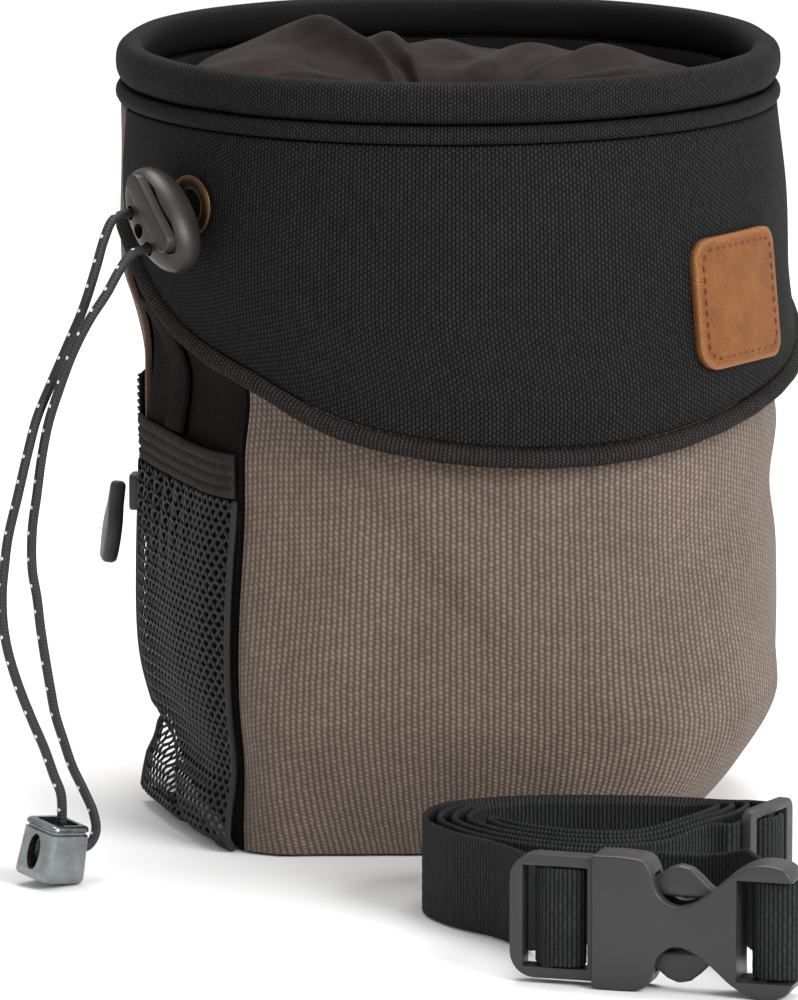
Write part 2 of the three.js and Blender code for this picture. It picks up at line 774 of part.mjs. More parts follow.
function zipGroup() {
  const group = new THREE.Group();
  group.position.copy(onBody(zipAngle, zipBottom + zipSliderUp, zipWall + 3 * gap));
  group.rotation.z = radians(zipAngle);
  bag.add(group);
  return group;
}

const zip = zipGroup();
const zipSlider = extrude(roundedRectangle(zipSliderWide, zipSliderTall, zipSliderWide / 4), zipSliderDeep, 0, 2);
add('zip_slider', closed(zipSlider.rotateX(Math.PI / 2)), blackPlastic, zip);

function pullShape() {
  const shape = new THREE.Shape();
  shape.moveTo(-pullNeck, 0);
  shape.lineTo(-pullWaist, -0.28 * pullLong);
  shape.bezierCurveTo(-pullBulb, -0.43 * pullLong, -pullBulb, -0.8 * pullLong, -pullBulb / 2, -0.97 * pullLong);
  shape.quadraticCurveTo(0, -1.03 * pullLong, pullBulb / 2, -0.97 * pullLong);
  shape.bezierCurveTo(pullBulb, -0.8 * pullLong, pullBulb, -0.43 * pullLong, pullWaist, -0.28 * pullLong);
  shape.lineTo(pullNeck, 0);
  return shape;
}

const pull = extrude(pullShape(), pullDeep, 0.8, 4).rotateX(Math.PI / 2).rotateZ(radians(pullTwist));
pull.rotateX(radians(-pullLean)).translate(0, -zipSliderDeep - 3 * gap, zipSliderTall / 4);
add('zip_pull', closed(pull), blackPlastic, zip);

// Belt loop on the back, for the waist belt
function loopShape() {
  const out = loopClear + loopWall;
  const half = loopTall / 2;
  const shape = new THREE.Shape();
  shape.moveTo(0, -half);
  shape.lineTo(loopWall, -half);
  shape.lineTo(out, loopFoot - half);
  shape.lineTo(out, half - loopFoot);
  shape.lineTo(loopWall, half);
  shape.lineTo(0, half);
  shape.lineTo(0, half - loopHem);
  shape.lineTo(loopClear, half - loopFoot - 1);
  shape.lineTo(loopClear, loopFoot + 1 - half);
  shape.lineTo(0, loopHem - half);
  return shape;
}

const loopSeat = bodyHalfDepth + gap - loopSettle;
const loop = extrude(loopShape(), loopWide).rotateX(Math.PI / 2).rotateZ(Math.PI / 2);
add('belt_loop', closed(loop.translate(-loopWide / 2, loopSeat, loopMiddle)), webbing);

// Eyelet, cord lock and its button
const eyeletSeat = onCollar(eyeletAngle, eyeletHeight, gap);
const ring = toPoints([[eyeletInner, 0], [eyeletOuter, 0], [eyeletOuter - eyeletBevel, eyeletProud],
  [eyeletInner + eyeletBevel / 2, eyeletProud], [eyeletInner, 0]]);
const eyelet = new THREE.LatheGeometry(ring, 16).rotateX(Math.PI / 2);
const eyeletMesh = add('eyelet', closed(eyelet), brass);
const outward = (angle) => new THREE.Vector3(Math.sin(radians(angle)), -Math.cos(radians(angle)), 0);

function face(object, out, up) {
  const side = new THREE.Vector3().crossVectors(up, out).normalize();
  const along = new THREE.Vector3().crossVectors(out, side);
  object.quaternion.setFromRotationMatrix(new THREE.Matrix4().makeBasis(side, along, out));
}

const upward = new THREE.Vector3(0, 0, 1);
face(eyeletMesh, outward(eyeletAngle), upward);
eyeletMesh.position.copy(eyeletSeat).addScaledVector(outward(eyeletAngle), eyeletLift);

const lock = new THREE.Group();
const lockSeat = onCollar(lockAngle, lockHeight, lockProud);
const lockOut = outward(lockTurn);
const lockSide = new THREE.Vector3(Math.cos(radians(lockTurn)), Math.sin(radians(lockTurn)), 0);
const lockUp = upward.clone().multiplyScalar(Math.cos(radians(lockLean)))
  .addScaledVector(lockSide, -Math.sin(radians(lockLean)));
face(lock, lockOut, lockUp);
lock.position.copy(lockSeat).addScaledVector(lockOut, lockStandOff - lockDeep / 2);
bag.add(lock);

function lockBody() {
  const oval = new THREE.Shape();
  oval.absellipse(0, 0, lockWide / 2, lockLong / 2, 0, Math.PI * 2);
  let solid = toSolid(extrude(oval, lockDeep, lockEdge, 7, 2));
  const groove = roundedRectangle(buttonWide + 2 * gap, buttonLong + 2 * gap, buttonWide / 2);
  const cutter = extrude(groove, 3 * buttonSunk, 0, 3).translate(buttonAside, 0, lockDeep - buttonSunk);
  solid = solid.subtract(toSolid(cutter));
  for (const step of [-1, 0, 1]) {
    const hole = new THREE.CylinderGeometry(lockHoleRadius, lockHoleRadius, 3 * lockDeep, 8);
    hole.rotateX(Math.PI / 2).translate(lockHoleAside, step * lockHolePitch, 0);
    solid = solid.subtract(toSolid(hole));
  }
  return toGeometry(solid);
}

add('cord_lock', lockBody(), lockPlastic, lock);
const button = extrude(roundedRectangle(buttonWide, buttonLong, buttonWide / 2), buttonSunk + buttonProud - gap,
  0.7, 3).translate(buttonAside, 0, lockDeep - buttonSunk + gap);
add('lock_button', closed(button), blackPlastic, lock);

// Drawcord and its metal end
const fromLock = (route) =>
  route.map(([x, y, z]) => new THREE.Vector3(lockSeat.x + x, lockSeat.y + y, lockSeat.z * z));
add('drawcord_upper', tube(fromLock(upperStrand), cordDiameter / 2, cordSides, cordSteps), cordCloth);
add('drawcord_lower', tube(fromLock(lowerStrand), cordDiameter / 2, cordSides, cordSteps), cordCloth);

function cubeGeometry() {
  let solid = toSolid(extrude(roundedRectangle(cubeWide, cubeWide, cubeCorner), cubeTall, cubeBevel, 2));
  const hollow = cubeWide - 2 * cubeWall;
  const well = box(hollow, hollow, cubeTall, 0, 0, cubeWall + cubeTall / 2 + 1);
  solid = solid.subtract(toSolid(well));
  const slot = new THREE.CylinderGeometry(cubeHole, cubeHole, 3 * cubeWide, 10).scale(1, 1, cubeHoleStretch);
  return toGeometry(solid.subtract(toSolid(slot.translate(0, 0, cubeTall / 2))));
}

const cube = new THREE.Group();
cube.rotation.y = radians(cubeTilt);
const cubeLift = (cubeWide / 2) * cubeRoll * Math.sin(radians(cubeTilt));
cube.position.set(lockSeat.x + cubeFromLock.x, lockSeat.y + cubeFromLock.y, cubeLift);
bag.add(cube);
const cubeMesh = add('cord_end', cubeGeometry(), metal, cube);
cubeMesh.rotation.z = radians(cubeTurn);

// Waist belt: one strap, wound double into a flat coil, from the buckle's frame to its far end
const bucklePlace = { x: coilCentre.x + buckleFromCoil.x, y: coilCentre.y + buckleFromCoil.y };
const buckleAxis = { x: Math.cos(radians(buckleTurn)), y: Math.sin(radians(buckleTurn)) };
const onBuckle = (along, front) => [
  bucklePlace.x + along * buckleAxis.x + front * buckleAxis.y,
  bucklePlace.y + along * buckleAxis.y - front * buckleAxis.x,
];

// The coil's spiral: bearings in degrees from +X, and layers counted from the outside.
const coilStart = 230;
const layerAt = (bearing) => (2 * (coilStart - bearing)) / 360;
const sliderBearing = -18;
const sliderRoom = 22;
const sliderStandOff = 4.4;
const frontPower = 1.65;
const backPower = 2.45;

function coilSpot(bearing, layer) {
  const cos = Math.cos(radians(bearing));
  const sin = Math.sin(radians(bearing));
  const reachX = (cos < 0 ? coilLeft : coilRight) - layer * sidePitch;
  const reachY = sin < 0 ? coilFront - layer * frontPitch : coilBack - layer * backPitch;
  const power = sin < 0 ? frontPower : backPower;
  const radius = ((Math.abs(cos) / reachX) ** power + (Math.abs(sin) / reachY) ** power) ** (-1 / power);
  return [coilCentre.x + radius * cos, coilCentre.y + radius * sin];
}

const sliderSeat = coilSpot(sliderBearing, layerAt(sliderBearing));
sliderSeat[0] += sliderStandOff * Math.cos(radians(sliderBearing));
sliderSeat[1] += sliderStandOff * Math.sin(radians(sliderBearing));
const runUp = coilSpot(sliderBearing + 5, layerAt(sliderBearing + 5));
const runOut = coilSpot(sliderBearing - 5, layerAt(sliderBearing - 5));
const sliderTurn = THREE.MathUtils.radToDeg(Math.atan2(runOut[1] - runUp[1], runOut[0] - runUp[0]));

// A spot by the slider: along the strap's run, and outside it.
function bySlider(run, out) {
  const cos = Math.cos(radians(sliderTurn));
  const sin = Math.sin(radians(sliderTurn));
  return [sliderSeat[0] + run * cos - out * sin, sliderSeat[1] + run * sin + out * cos];
}

// The strap weaves inside the slider's two end bars and outside its middle bar.
const weave = sliderDeep / 2 + strapWall / 2 + gap;
const sliderRun = [
  { run: -1.25, out: -1 }, { run: -0.72, out: -1 }, { run: -0.5, out: -0.5 }, { run: -0.4, out: 0.5 },
  { run: -0.2, out: 1 }, { run: 0.2, out: 1 }, { run: 0.4, out: 0.5 }, { run: 0.5, out: -0.5 },
  { run: 0.72, out: -1 }, { run: 1.25, out: -1 },
];
const throughSlider = sliderRun.map(({ run, out }) => bySlider((run * sliderLong) / 2, out * weave));

// Where the strap wraps the two bars of the buckle: along the buckle and in front of its middle.
const roundBar = barDeep / 2 + strapWall / 2 + gap;
const frameWrap = [
  [barAt - 1, -roundBar], [barAt + 2.3, -roundBar], [barAt + 3.8, -0.9], [barAt + 3.8, 0.9],
  [barAt + 2.3, roundBar], [barAt - 2.6, roundBar], [barAt - 5.1, 0.2], [barAt - 6, -3.6],
].map(([along, front]) => onBuckle(along, front));
const endWrap = [
  [endBarAt - 4.4, -0.9], [endBarAt - 3.4, 1.2], [endBarAt - 1.8, roundBar], [endBarAt + 2, roundBar],
  [endBarAt + 4, 0.8], [endBarAt + 4, -1.2], [endBarAt + 2.6, -3.2], [endBarAt + 1, -6.5],
].map(([along, front]) => onBuckle(along, front));

// The two ends of the strap on their way from the coil to the buckle, from the coil's middle.
const fromCoil = (rows) => rows.map(({ x, y }) => [coilCentre.x + x, coilCentre.y + y]);
const frameLead = fromCoil([{ x: -13, y: -53 }, { x: -12.6, y: -46 }, { x: -14.2, y: -39.6 }]);
const endLead = fromCoil([{ x: 30.6, y: -56 }, { x: 27.4, y: -46 }, { x: 19.4, y: -39 }, { x: 9, y: -34.8 }]);

function strapLine() {
  const step = 22.5;
  const laps = coilLaps * 360;
  const outward = [];
  const inward = [];
  let threaded = false;
  for (let turned = 0; turned <= laps; turned += step) {
    const bearing = coilStart - turned;
    const bySeat = Math.abs(bearing - sliderBearing) < sliderRoom;
    if (!bySeat) inward.push(coilSpot(bearing, layerAt(bearing)));
    if (bySeat && !threaded) inward.push(...throughSlider);
    threaded = threaded || bySeat;
    outward.unshift(coilSpot(bearing, layerAt(bearing) + 1));
  }
  const last = coilStart - laps - step / 3;
  const fold = [coilSpot(last, layerAt(last) + 0.25), coilSpot(last, layerAt(last) + 0.75)];
  const meeting = coilSpot(coilStart + 30, layerAt(coilStart + 30) + 1);
  return [...frameWrap, ...frameLead, ...inward, ...fold, ...outward, meeting,
    ...endLead.toReversed(), ...endWrap.toReversed()];
}

// The strap stands on its edge, and is lifted where it threads the buckle and the slider.
const strapLift = (buckleTall - strapWidth) / 2;
const sliderLift = (sliderTall - strapWidth) / 2;
const coilEdge = coilCentre.y - coilFront;

function liftAt(x, y) {
  const byBuckle = strapLift * ease(coilEdge - y, 1, 14);
  const away = Math.hypot(x - sliderSeat[0], y - sliderSeat[1]);
  return byBuckle + sliderLift * (1 - ease(away, sliderLong * 0.6, sliderLong * 1.6));
}

function strapSide(line, side) {
  return line.map(([x, y], i) => {
    const before = line[Math.max(i - 1, 0)];
    const after = line[Math.min(i + 1, line.length - 1)];
    const into = new THREE.Vector2(x - before[0], y - before[1]).normalize();
    const onward = new THREE.Vector2(after[0] - x, after[1] - y).normalize();
    const along = into.add(onward).normalize();
    const spread = Math.min(strapMitre, 1 / Math.max(0.5, along.dot(onward.lengthSq() ? onward : along)));
    const reach = (side * spread * strapWall) / 2;
    return new THREE.Vector2(x - along.y * reach, y + along.x * reach);
  });
}

function strapGeometry() {
  const line = strapLine();
  const outline = [...strapSide(line, -1), ...strapSide(line, 1).reverse()];
  const geometry = new THREE.ExtrudeGeometry(new THREE.Shape(outline), { depth: strapWidth, bevelEnabled: false });
  const spots = geometry.attributes.position;
  for (let i = 0; i < spots.count; i += 1) {
    spots.setZ(i, spots.getZ(i) + liftAt(spots.getX(i), spots.getY(i)));
  }
  return closed(geometry);
}

add('waist_strap', strapGeometry(), webbing);

// Three-bar slider on the strap
const sliderGroup = new THREE.Group();
sliderGroup.position.set(sliderSeat[0], sliderSeat[1], sliderTall / 2);
sliderGroup.rotation.z = radians(sliderTurn);
bag.add(sliderGroup);

function sliderFrame() {
  const plate = extrude(roundedRectangle(sliderLong, sliderTall, 2.4), sliderDeep, 0, 3);
  let solid = toSolid(plate.translate(0, 0, -sliderDeep / 2).rotateX(Math.PI / 2));
  const slotWide = (sliderLong - 3 * sliderBar) / 2;
  for (const side of [-1, 1]) {
    const middle = (side * (sliderBar + slotWide)) / 2;
    solid = solid.subtract(toSolid(box(slotWide, 3 * sliderDeep, strapWidth + 2 * gap, middle, 0, 0)));
  }
  return toGeometry(solid);
}

add('strap_slider', sliderFrame(), blackPlastic, sliderGroup);

// Side-release buckle: a frame with two sprung prongs, and the body that they click into
const buckle = new THREE.Group();
buckle.position.set(bucklePlace.x, bucklePlace.y, buckleTall / 2);
buckle.rotation.z = radians(buckleTurn);
bag.add(buckle);
const slotHalf = strapWidth / 2 + gap;
const stand = (geometry, deep) => geometry.translate(0, 0, -deep / 2).rotateX(Math.PI / 2);

function frameOutline() {
  const half = frameTall / 2;
  const shape = new THREE.Shape();
  shape.moveTo(frameLong, -half);
  shape.lineTo(frameLong, half);
  shape.lineTo(frameCorner, half);
  shape.quadraticCurveTo(0, half, 0, half - frameCorner);
  shape.lineTo(0, frameCorner - half);
  shape.quadraticCurveTo(0, -half, frameCorner, -half);
  return shape;
}

function prongOutline(side) {
  const shape = new THREE.Shape();
  const start = frameLong - 1;
  const points = [[start, 4.4], [start, 9.6], [29.8, 9.4], [30.6, 9.8]];
  shape.moveTo(points[0][0], side * points[0][1]);
  for (const [along, up] of points.slice(1)) shape.lineTo(along, side * up);
  shape.quadraticCurveTo(34.5, side * 14.2, 40.6, side * 8);
  shape.lineTo(42.6, side * 6.8);
  shape.lineTo(42.6, side * 5.2);
  shape.lineTo(30, side * 5.6);
  return shape;
}

function frameSolid() {
  let solid = toSolid(stand(extrude(frameOutline(), frameDeep, 0.7, 4), frameDeep));
  const firstSlot = barAt - barWide / 2 - frameRail;
  const lastSlot = frameLong - 1 - barAt - barWide / 2;
  const slotTall = 2 * slotHalf;
  solid = solid.subtract(toSolid(box(firstSlot, 20, slotTall, frameRail + firstSlot / 2, 0, 0)));
  solid = solid.subtract(toSolid(box(lastSlot, 20, slotTall, frameLong - 1 - lastSlot / 2, 0, 0)));
  for (const side of [-1, 1]) {
    const cut = box(barWide + 2, 2 * frameDeep, slotTall, barAt, side * (frameDeep + barDeep / 2), 0);
    solid = solid.subtract(toSolid(cut));
    solid = solid.add(toSolid(stand(extrude(prongOutline(side), prongDeep, 0.5, 4), prongDeep)));
  }
  return solid.add(toSolid(box(guideLong, prongDeep, guideTall, frameLong + guideLong / 2 - 1, 0, 0)));
}

add('buckle_frame', toGeometry(frameSolid()), blackPlastic, buckle);

// Half of the buckle body's outline: along the buckle, and out from its middle.
const bodyStart = frameLong + gap;
const bodyOutline = [
  { along: bodyStart, out: 13.5 }, { along: 24, out: 13.5 }, { along: 28.2, out: 12.7 }, { along: 29.6, out: 10.4 },
  { along: 31, out: 6.4 }, { along: 34, out: 4.2 }, { along: 37.5, out: 4.8 }, { along: 41.5, out: 7.4 },
  { along: 46, out: 11.2 }, { along: 50, out: 13.2 }, { along: 53.5, out: 13.5 }, { along: 57, out: 12.6 },
  { along: 58.4, out: 10.6 },
];

function buckleBody() {
  const top = bodyOutline.map(({ along, out }) => new THREE.Vector2(along, out));
  const low = bodyOutline.map(({ along, out }) => new THREE.Vector2(along, -out));
  const shape = new THREE.Shape([...low, ...top.reverse()]);
  let solid = toSolid(stand(extrude(shape, buckleDeep, 0.9, 2), buckleDeep));
  const socketLong = socketEnd - bodyStart;
  const socket = box(socketLong, prongDeep + 2 * gap + 0.2, socketTall, bodyStart + socketLong / 2 - 0.01, 0, 0);
  solid = solid.subtract(toSolid(socket));
  const openStart = endBarAt - endBarWide / 2 - 5;
  const endCut = box(20, 20, 2 * slotHalf, openStart + 10, 0, 0);
  const barLong = box(endBarWide, barDeep, 2 * slotHalf + 1, endBarAt, 0, 0);
  return solid.subtract(toSolid(endCut)).add(toSolid(barLong));
}

add('buckle_body', toGeometry(buckleBody()), blackPlastic, buckle);

export default bag;
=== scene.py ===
# Climbing chalk bag: the looks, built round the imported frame.
import math

import bmesh
import bpy
import numpy as np
from mathutils import Matrix, Vector


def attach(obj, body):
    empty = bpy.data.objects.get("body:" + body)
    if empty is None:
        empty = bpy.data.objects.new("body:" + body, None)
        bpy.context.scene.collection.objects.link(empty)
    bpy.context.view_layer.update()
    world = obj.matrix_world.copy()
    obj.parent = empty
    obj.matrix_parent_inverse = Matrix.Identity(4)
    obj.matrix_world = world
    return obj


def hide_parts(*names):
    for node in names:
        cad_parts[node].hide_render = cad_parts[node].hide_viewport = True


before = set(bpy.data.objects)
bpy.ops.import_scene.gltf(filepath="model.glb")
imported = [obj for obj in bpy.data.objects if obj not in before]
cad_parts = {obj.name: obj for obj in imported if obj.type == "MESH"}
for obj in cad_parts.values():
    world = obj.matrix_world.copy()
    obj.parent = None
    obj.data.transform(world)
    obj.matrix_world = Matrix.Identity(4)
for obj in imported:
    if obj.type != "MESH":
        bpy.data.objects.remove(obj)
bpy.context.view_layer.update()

mm = 0.001
print("frame loaded:", len(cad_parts), "nodes")

# Camera at the photo's angle, 10.5 degrees above the floor
photoCamera = {
    "target": (-0.014, 0.0, 0.066),
    "distance": 2.2,
    "elevation": 10.5,
    "lens": 370.66,
    "sensor": 36.0,
}


def makeCamera():
    look = photoCamera
    rise = math.radians(look["elevation"])
    back = Vector((0, -math.cos(rise), math.sin(rise)))
    data = bpy.data.cameras.new("photoCamera")
    data.lens = look["lens"]
    data.sensor_width = look["sensor"]
    camera = bpy.data.objects.new("photoCamera", data)
    camera.location = Vector(look["target"]) + back * look["distance"]
    camera.rotation_mode = "QUATERNION"
    camera.rotation_quaternion = (-back).to_track_quat("-Z", "Y")
    bpy.context.scene.collection.objects.link(camera)
    bpy.context.scene.camera = camera


makeCamera()
print("camera set")


# Numbers and colours
def mix(a, b, share):
    return a + (b - a) * share


def smoothStep(value, low, high):
    share = np.clip((value - low) / (high - low), 0, 1)
    return share * share * (3 - 2 * share)


def readTable(rows, key, column, at):
    return np.interp(at, [row[key] for row in rows], [row[column] for row in rows])


def softTable(rows, key, column, at, reach):
    # the table's straight stretches, rounded where they meet
    steps = (-1, -0.5, 0, 0.5, 1)
    return sum(readTable(rows, key, column, at + step * reach) for step in steps) / len(steps)


def fromSrgb(red, green, blue):
    def one(value):
        value = value / 255
        return value / 12.92 if value <= 0.04045 else ((value + 0.055) / 1.055) ** 2.4
    return (one(red), one(green), one(blue), 1.0)


def ripple(across, up, size, seed, waves=9):
    # smooth wandering noise about -1 to 1, with bumps of about that size
    dice = np.random.default_rng(seed)
    total = np.zeros(np.broadcast(across, up).shape)
    for _ in range(waves):
        heading = dice.uniform(0, 2 * np.pi)
        pitch = size * dice.uniform(0.7, 1.6)
        phase = dice.uniform(0, 2 * np.pi)
        total = total + np.sin(2 * np.pi * (across * np.cos(heading) + up * np.sin(heading)) / pitch + phase)
    return total / math.sqrt(waves)


# Meshes
def makePiece(name, points, quads, corners, triangles=(), triangleCorners=()):
    mesh = bpy.data.meshes.new(name)
    mesh.from_pydata(np.asarray(points, float).tolist(), [], [list(map(int, q)) for q in quads]
                     + [list(map(int, t)) for t in triangles])
    layer = mesh.uv_layers.new(name="cloth")
    flat = np.asarray(corners, float).reshape(-1, 2)
    if len(triangles):
        flat = np.concatenate([flat, np.asarray(triangleCorners, float).reshape(-1, 2)])
    layer.data.foreach_set("uv", flat.ravel())
    mesh.shade_smooth()
    piece = bpy.data.objects.new(name, mesh)
    bpy.context.scene.collection.objects.link(piece)
    return piece


def quadsOf(index):
    return np.stack([index[:-1, :-1], index[:-1, 1:], index[1:, 1:], index[1:, :-1]], -1).reshape(-1, 4)


def cornersOf(spread):
    return np.stack([spread[:-1, :-1], spread[:-1, 1:], spread[1:, 1:], spread[1:, :-1]], 2).reshape(-1, 4, 2)


def rimSteps(count, length, wall):
    # even shares from 0 to 1, with three close ones at both ends for the rounded edge
    edge = wall / 2 / length
    near = np.array([0, 0.13, 0.5]) * edge
    return np.concatenate([near, np.linspace(edge, 1 - edge, count), 1 - near[::-1]])


def clothSheet(name, wide, tall, columns, rows, wall, placeAt):
    # a closed panel of that wall with rounded edges; placeAt(across, up, out) gives places in metres
    across, up = np.meshgrid(rimSteps(columns, wide, wall), rimSteps(rows, tall, wall))
    inside = np.minimum.reduce([across * wide, (1 - across) * wide, up * tall, (1 - up) * tall])
    full = np.sqrt(1 - (1 - np.clip(inside / (wall / 2), 0, 1)) ** 2)
    outer = placeAt(across, up, 0.5 + 0.5 * full)
    inner = placeAt(across, up, 0.5 - 0.5 * full)
    high, broad = across.shape
    outIndex = np.arange(high * broad).reshape(high, broad)
    inIndex = outIndex.copy()
    inIndex[1:-1, 1:-1] = high * broad + np.arange((high - 2) * (broad - 2)).reshape(high - 2, broad - 2)
    points = np.concatenate([outer.reshape(-1, 3), inner[1:-1, 1:-1].reshape(-1, 3)])
    spread = np.stack([across * wide, up * tall], -1)
    quads = np.concatenate([quadsOf(outIndex), quadsOf(inIndex)[:, ::-1]])
    corners = np.concatenate([cornersOf(spread), cornersOf(spread)[:, ::-1]])
    return makePiece(name, points, quads, corners)


def latticePiece(name, places, spread, around=True, along=False, caps=(), flip=False):
    # rows of places, closed around, and along too for a ring; caps closes row 0 and the last row
    rows, columns = places.shape[:2]
    index = np.arange(rows * columns).reshape(rows, columns)
    if around:
        index = closeRing(index)
    if along:
        index = np.concatenate([index, index[:1]], 0)
    quads, corners = quadsOf(index), cornersOf(spread)
    points = [places.reshape(-1, 3)]
    triangles, triangleCorners = [], []
    for row in caps:
        middle = rows * columns + len(points) - 1
        points.append(places[row].mean(0)[None])
        ring = index[row]
        for k in range(len(ring) - 1):
            pair = (ring[k + 1], ring[k]) if row == 0 else (ring[k], ring[k + 1])
            triangles.append((pair[0], pair[1], middle))
            triangleCorners.append([spread[row, k], spread[row, k + 1], spread[row, k]])
    if flip:
        quads, corners = quads[:, ::-1], corners[:, ::-1]
        triangles = [t[::-1] for t in triangles]
    return makePiece(name, np.concatenate(points), quads, corners, triangles, triangleCorners)


def runOf(path):
    # how far along the path each of its places lies
    return np.concatenate([[0], np.cumsum(np.linalg.norm(np.diff(path, axis=0), axis=1))])


def readAlong(spots, run, values):
    return np.stack([np.interp(spots, run, column) for column in values.T], -1)


def turnsOf(count):
    return np.linspace(0, 2 * np.pi, count, endpoint=False)


def closeRing(index):
    return np.concatenate([index, index[:, :1]], 1)


def routeOf(points, step):
    # a smooth curve through the points, with places that far apart
    p = np.asarray(points, float)
    p = np.concatenate([[2 * p[0] - p[1]], p, [2 * p[-1] - p[-2]]])
    knots = np.concatenate([[0], np.cumsum(np.sqrt(np.linalg.norm(np.diff(p, axis=0), axis=1)))])
    fine = []
    for i in range(1, len(p) - 2):
        t = np.linspace(knots[i], knots[i + 1], 24, endpoint=False)[:, None]
        k = knots[i - 1:i + 3]
        a1 = (k[1] - t) / (k[1] - k[0]) * p[i - 1] + (t - k[0]) / (k[1] - k[0]) * p[i]
        a2 = (k[2] - t) / (k[2] - k[1]) * p[i] + (t - k[1]) / (k[2] - k[1]) * p[i + 1]
        a3 = (k[3] - t) / (k[3] - k[2]) * p[i + 1] + (t - k[2]) / (k[3] - k[2]) * p[i + 2]
        b1 = (k[2] - t) / (k[2] - k[0]) * a1 + (t - k[0]) / (k[2] - k[0]) * a2
        b2 = (k[3] - t) / (k[3] - k[1]) * a2 + (t - k[1]) / (k[3] - k[1]) * a3
        fine.append((k[2] - t) / (k[2] - k[1]) * b1 + (t - k[1]) / (k[2] - k[1]) * b2)
    fine = np.concatenate(fine + [p[-2][None]])
    run = runOf(fine)
    even = np.linspace(0, run[-1], max(2, int(round(run[-1] / step)) + 1))
    return readAlong(even, run, fine)


def unit(vectors):
    return vectors / np.maximum(np.linalg.norm(vectors, axis=-1, keepdims=True), 1e-12)


def headingOf(path):
    return unit(np.gradient(path, axis=0))


def framesOf(path, start=(0, 0, 1)):
    # side and up vectors that follow the path without twisting
    ahead = headingOf(path)
    ups = []
    up = np.asarray(start, float)
    for along in ahead:
        up = up - along * up.dot(along)
        up = up / np.linalg.norm(up)
        ups.append(up)
    ups = np.array(ups)
    return np.cross(ahead, ups), ups


def tubePiece(name, path, radius, sides, start=(0, 0, 1), flatten=1.0, relief=None):
    side, up = framesOf(path, start)
    turn = turnsOf(sides)
    run = runOf(path)
    reach = np.full((len(path), sides), float(radius))
    if relief is not None:
        reach = reach + relief(run[:, None], turn[None, :])
    taper = np.ones(len(path))
    taper[[0, -1]] = 0.75
    places = path[:, None] + taper[:, None, None] * reach[..., None] * (
        np.cos(turn)[None, :, None] * side[:, None] + flatten * np.sin(turn)[None, :, None] * up[:, None])
    girth = np.linspace(0, 2 * np.pi * radius, sides + 1)
    spread = np.stack(np.broadcast_arrays(run[:, None], girth[None, :]), -1)
    return latticePiece(name, places, spread, caps=(0, -1))


def addStitches(name, path, outward, pitch, long, thick, lift=0.0):
    # short threads along a path, joined as one mesh; outward is the cloth's normal at each place
    run = runOf(path)
    spots = np.arange(pitch / 2, run[-1], pitch)
    middle = readAlong(spots, run, path)
    normal = unit(readAlong(spots, run, outward))
    ahead = unit(readAlong(spots, run, np.gradient(path, axis=0)))
    side = np.cross(normal, ahead)
    rings, sides = 7, 6
    bow = np.linspace(0, np.pi, rings)
    turn = turnsOf(sides)
    local = np.stack(np.broadcast_arrays(
        -np.cos(bow)[:, None] * long / 2,
        np.sin(bow)[:, None] ** 0.6 * np.cos(turn) * thick / 2,
        np.sin(bow)[:, None] ** 0.6 * np.sin(turn) * thick / 2), -1)
    local[..., 2] += lift - (local[..., 0] / (long / 2)) ** 4 * thick * 0.5
    places = (middle[:, None, None] + local[None, ..., :1] * ahead[:, None, None]
              + local[None, ..., 1:2] * side[:, None, None] + local[None, ..., 2:] * normal[:, None, None])
    one = quadsOf(closeRing(np.arange(rings * sides).reshape(rings, sides)))
    quads = np.concatenate([one + k * rings * sides for k in range(len(spots))])
    corners = np.zeros((len(quads), 4, 2)) + np.repeat(spots, len(one))[:, None, None]
    return makePiece(name, places.reshape(-1, 3), quads, corners)


def bakeModifiers(piece):
    bpy.context.view_layer.update()
    seen = piece.evaluated_get(bpy.context.evaluated_depsgraph_get())
    mesh = bpy.data.meshes.new_from_object(seen)
    piece.modifiers.clear()
    piece.data = mesh
    return piece


def roundEdges(piece, width, rings=3, angle=30):
    bevel = piece.modifiers.new("edges", "BEVEL")
    bevel.width = width
    bevel.segments = rings
    bevel.limit_method = "ANGLE"
    bevel.angle_limit = math.radians(angle)
    bevel.harden_normals = False
    return bakeModifiers(piece)


def cutAway(piece, cutters, way="DIFFERENCE"):
    for cutter in cutters:
        cut = piece.modifiers.new("cut", "BOOLEAN")
        cut.operation = way
        cut.solver = "EXACT"
        cut.object = cutter
        bakeModifiers(piece)
        bpy.data.objects.remove(cutter)
    return piece


def platePiece(name, outline, thick):
    # a flat plate of that outline, standing in X and Z, with its thickness along Y
    flat = np.asarray(outline, float)
    count = len(flat)
    front = np.stack([flat[:, 0], np.full(count, -thick / 2), flat[:, 1]], 1)
    back = front + (0, thick, 0)
    mesh = bpy.data.meshes.new(name)
    faces = [list(range(count)), list(range(2 * count - 1, count - 1, -1))]
    faces += [[i, i + count, (i + 1) % count + count, (i + 1) % count] for i in range(count)]
    mesh.from_pydata(np.concatenate([front, back]).tolist(), [], faces)
    bm = bmesh.new()
    bm.from_mesh(mesh)
    bmesh.ops.recalc_face_normals(bm, faces=bm.faces)
    bm.to_mesh(mesh)
    bm.free()
    piece = bpy.data.objects.new(name, mesh)
    bpy.context.scene.collection.objects.link(piece)
    return piece


def boxPiece(name, size, middle):
    x, z = size[0] / 2, size[2] / 2
    return shift(platePiece(name, [(-x, -z), (x, -z), (x, z), (-x, z)], size[1]), middle)


def roundedOutline(wide, tall, corner, steps=6):
    spots = []
    for quarter, (x, y) in enumerate([(1, 1), (-1, 1), (-1, -1), (1, -1)]):
        for k in range(steps + 1):
            turn = math.pi / 2 * (quarter + k / steps)
            spots.append((x * (wide / 2 - corner) + corner * math.cos(turn),
                          y * (tall / 2 - corner) + corner * math.sin(turn)))
    return spots


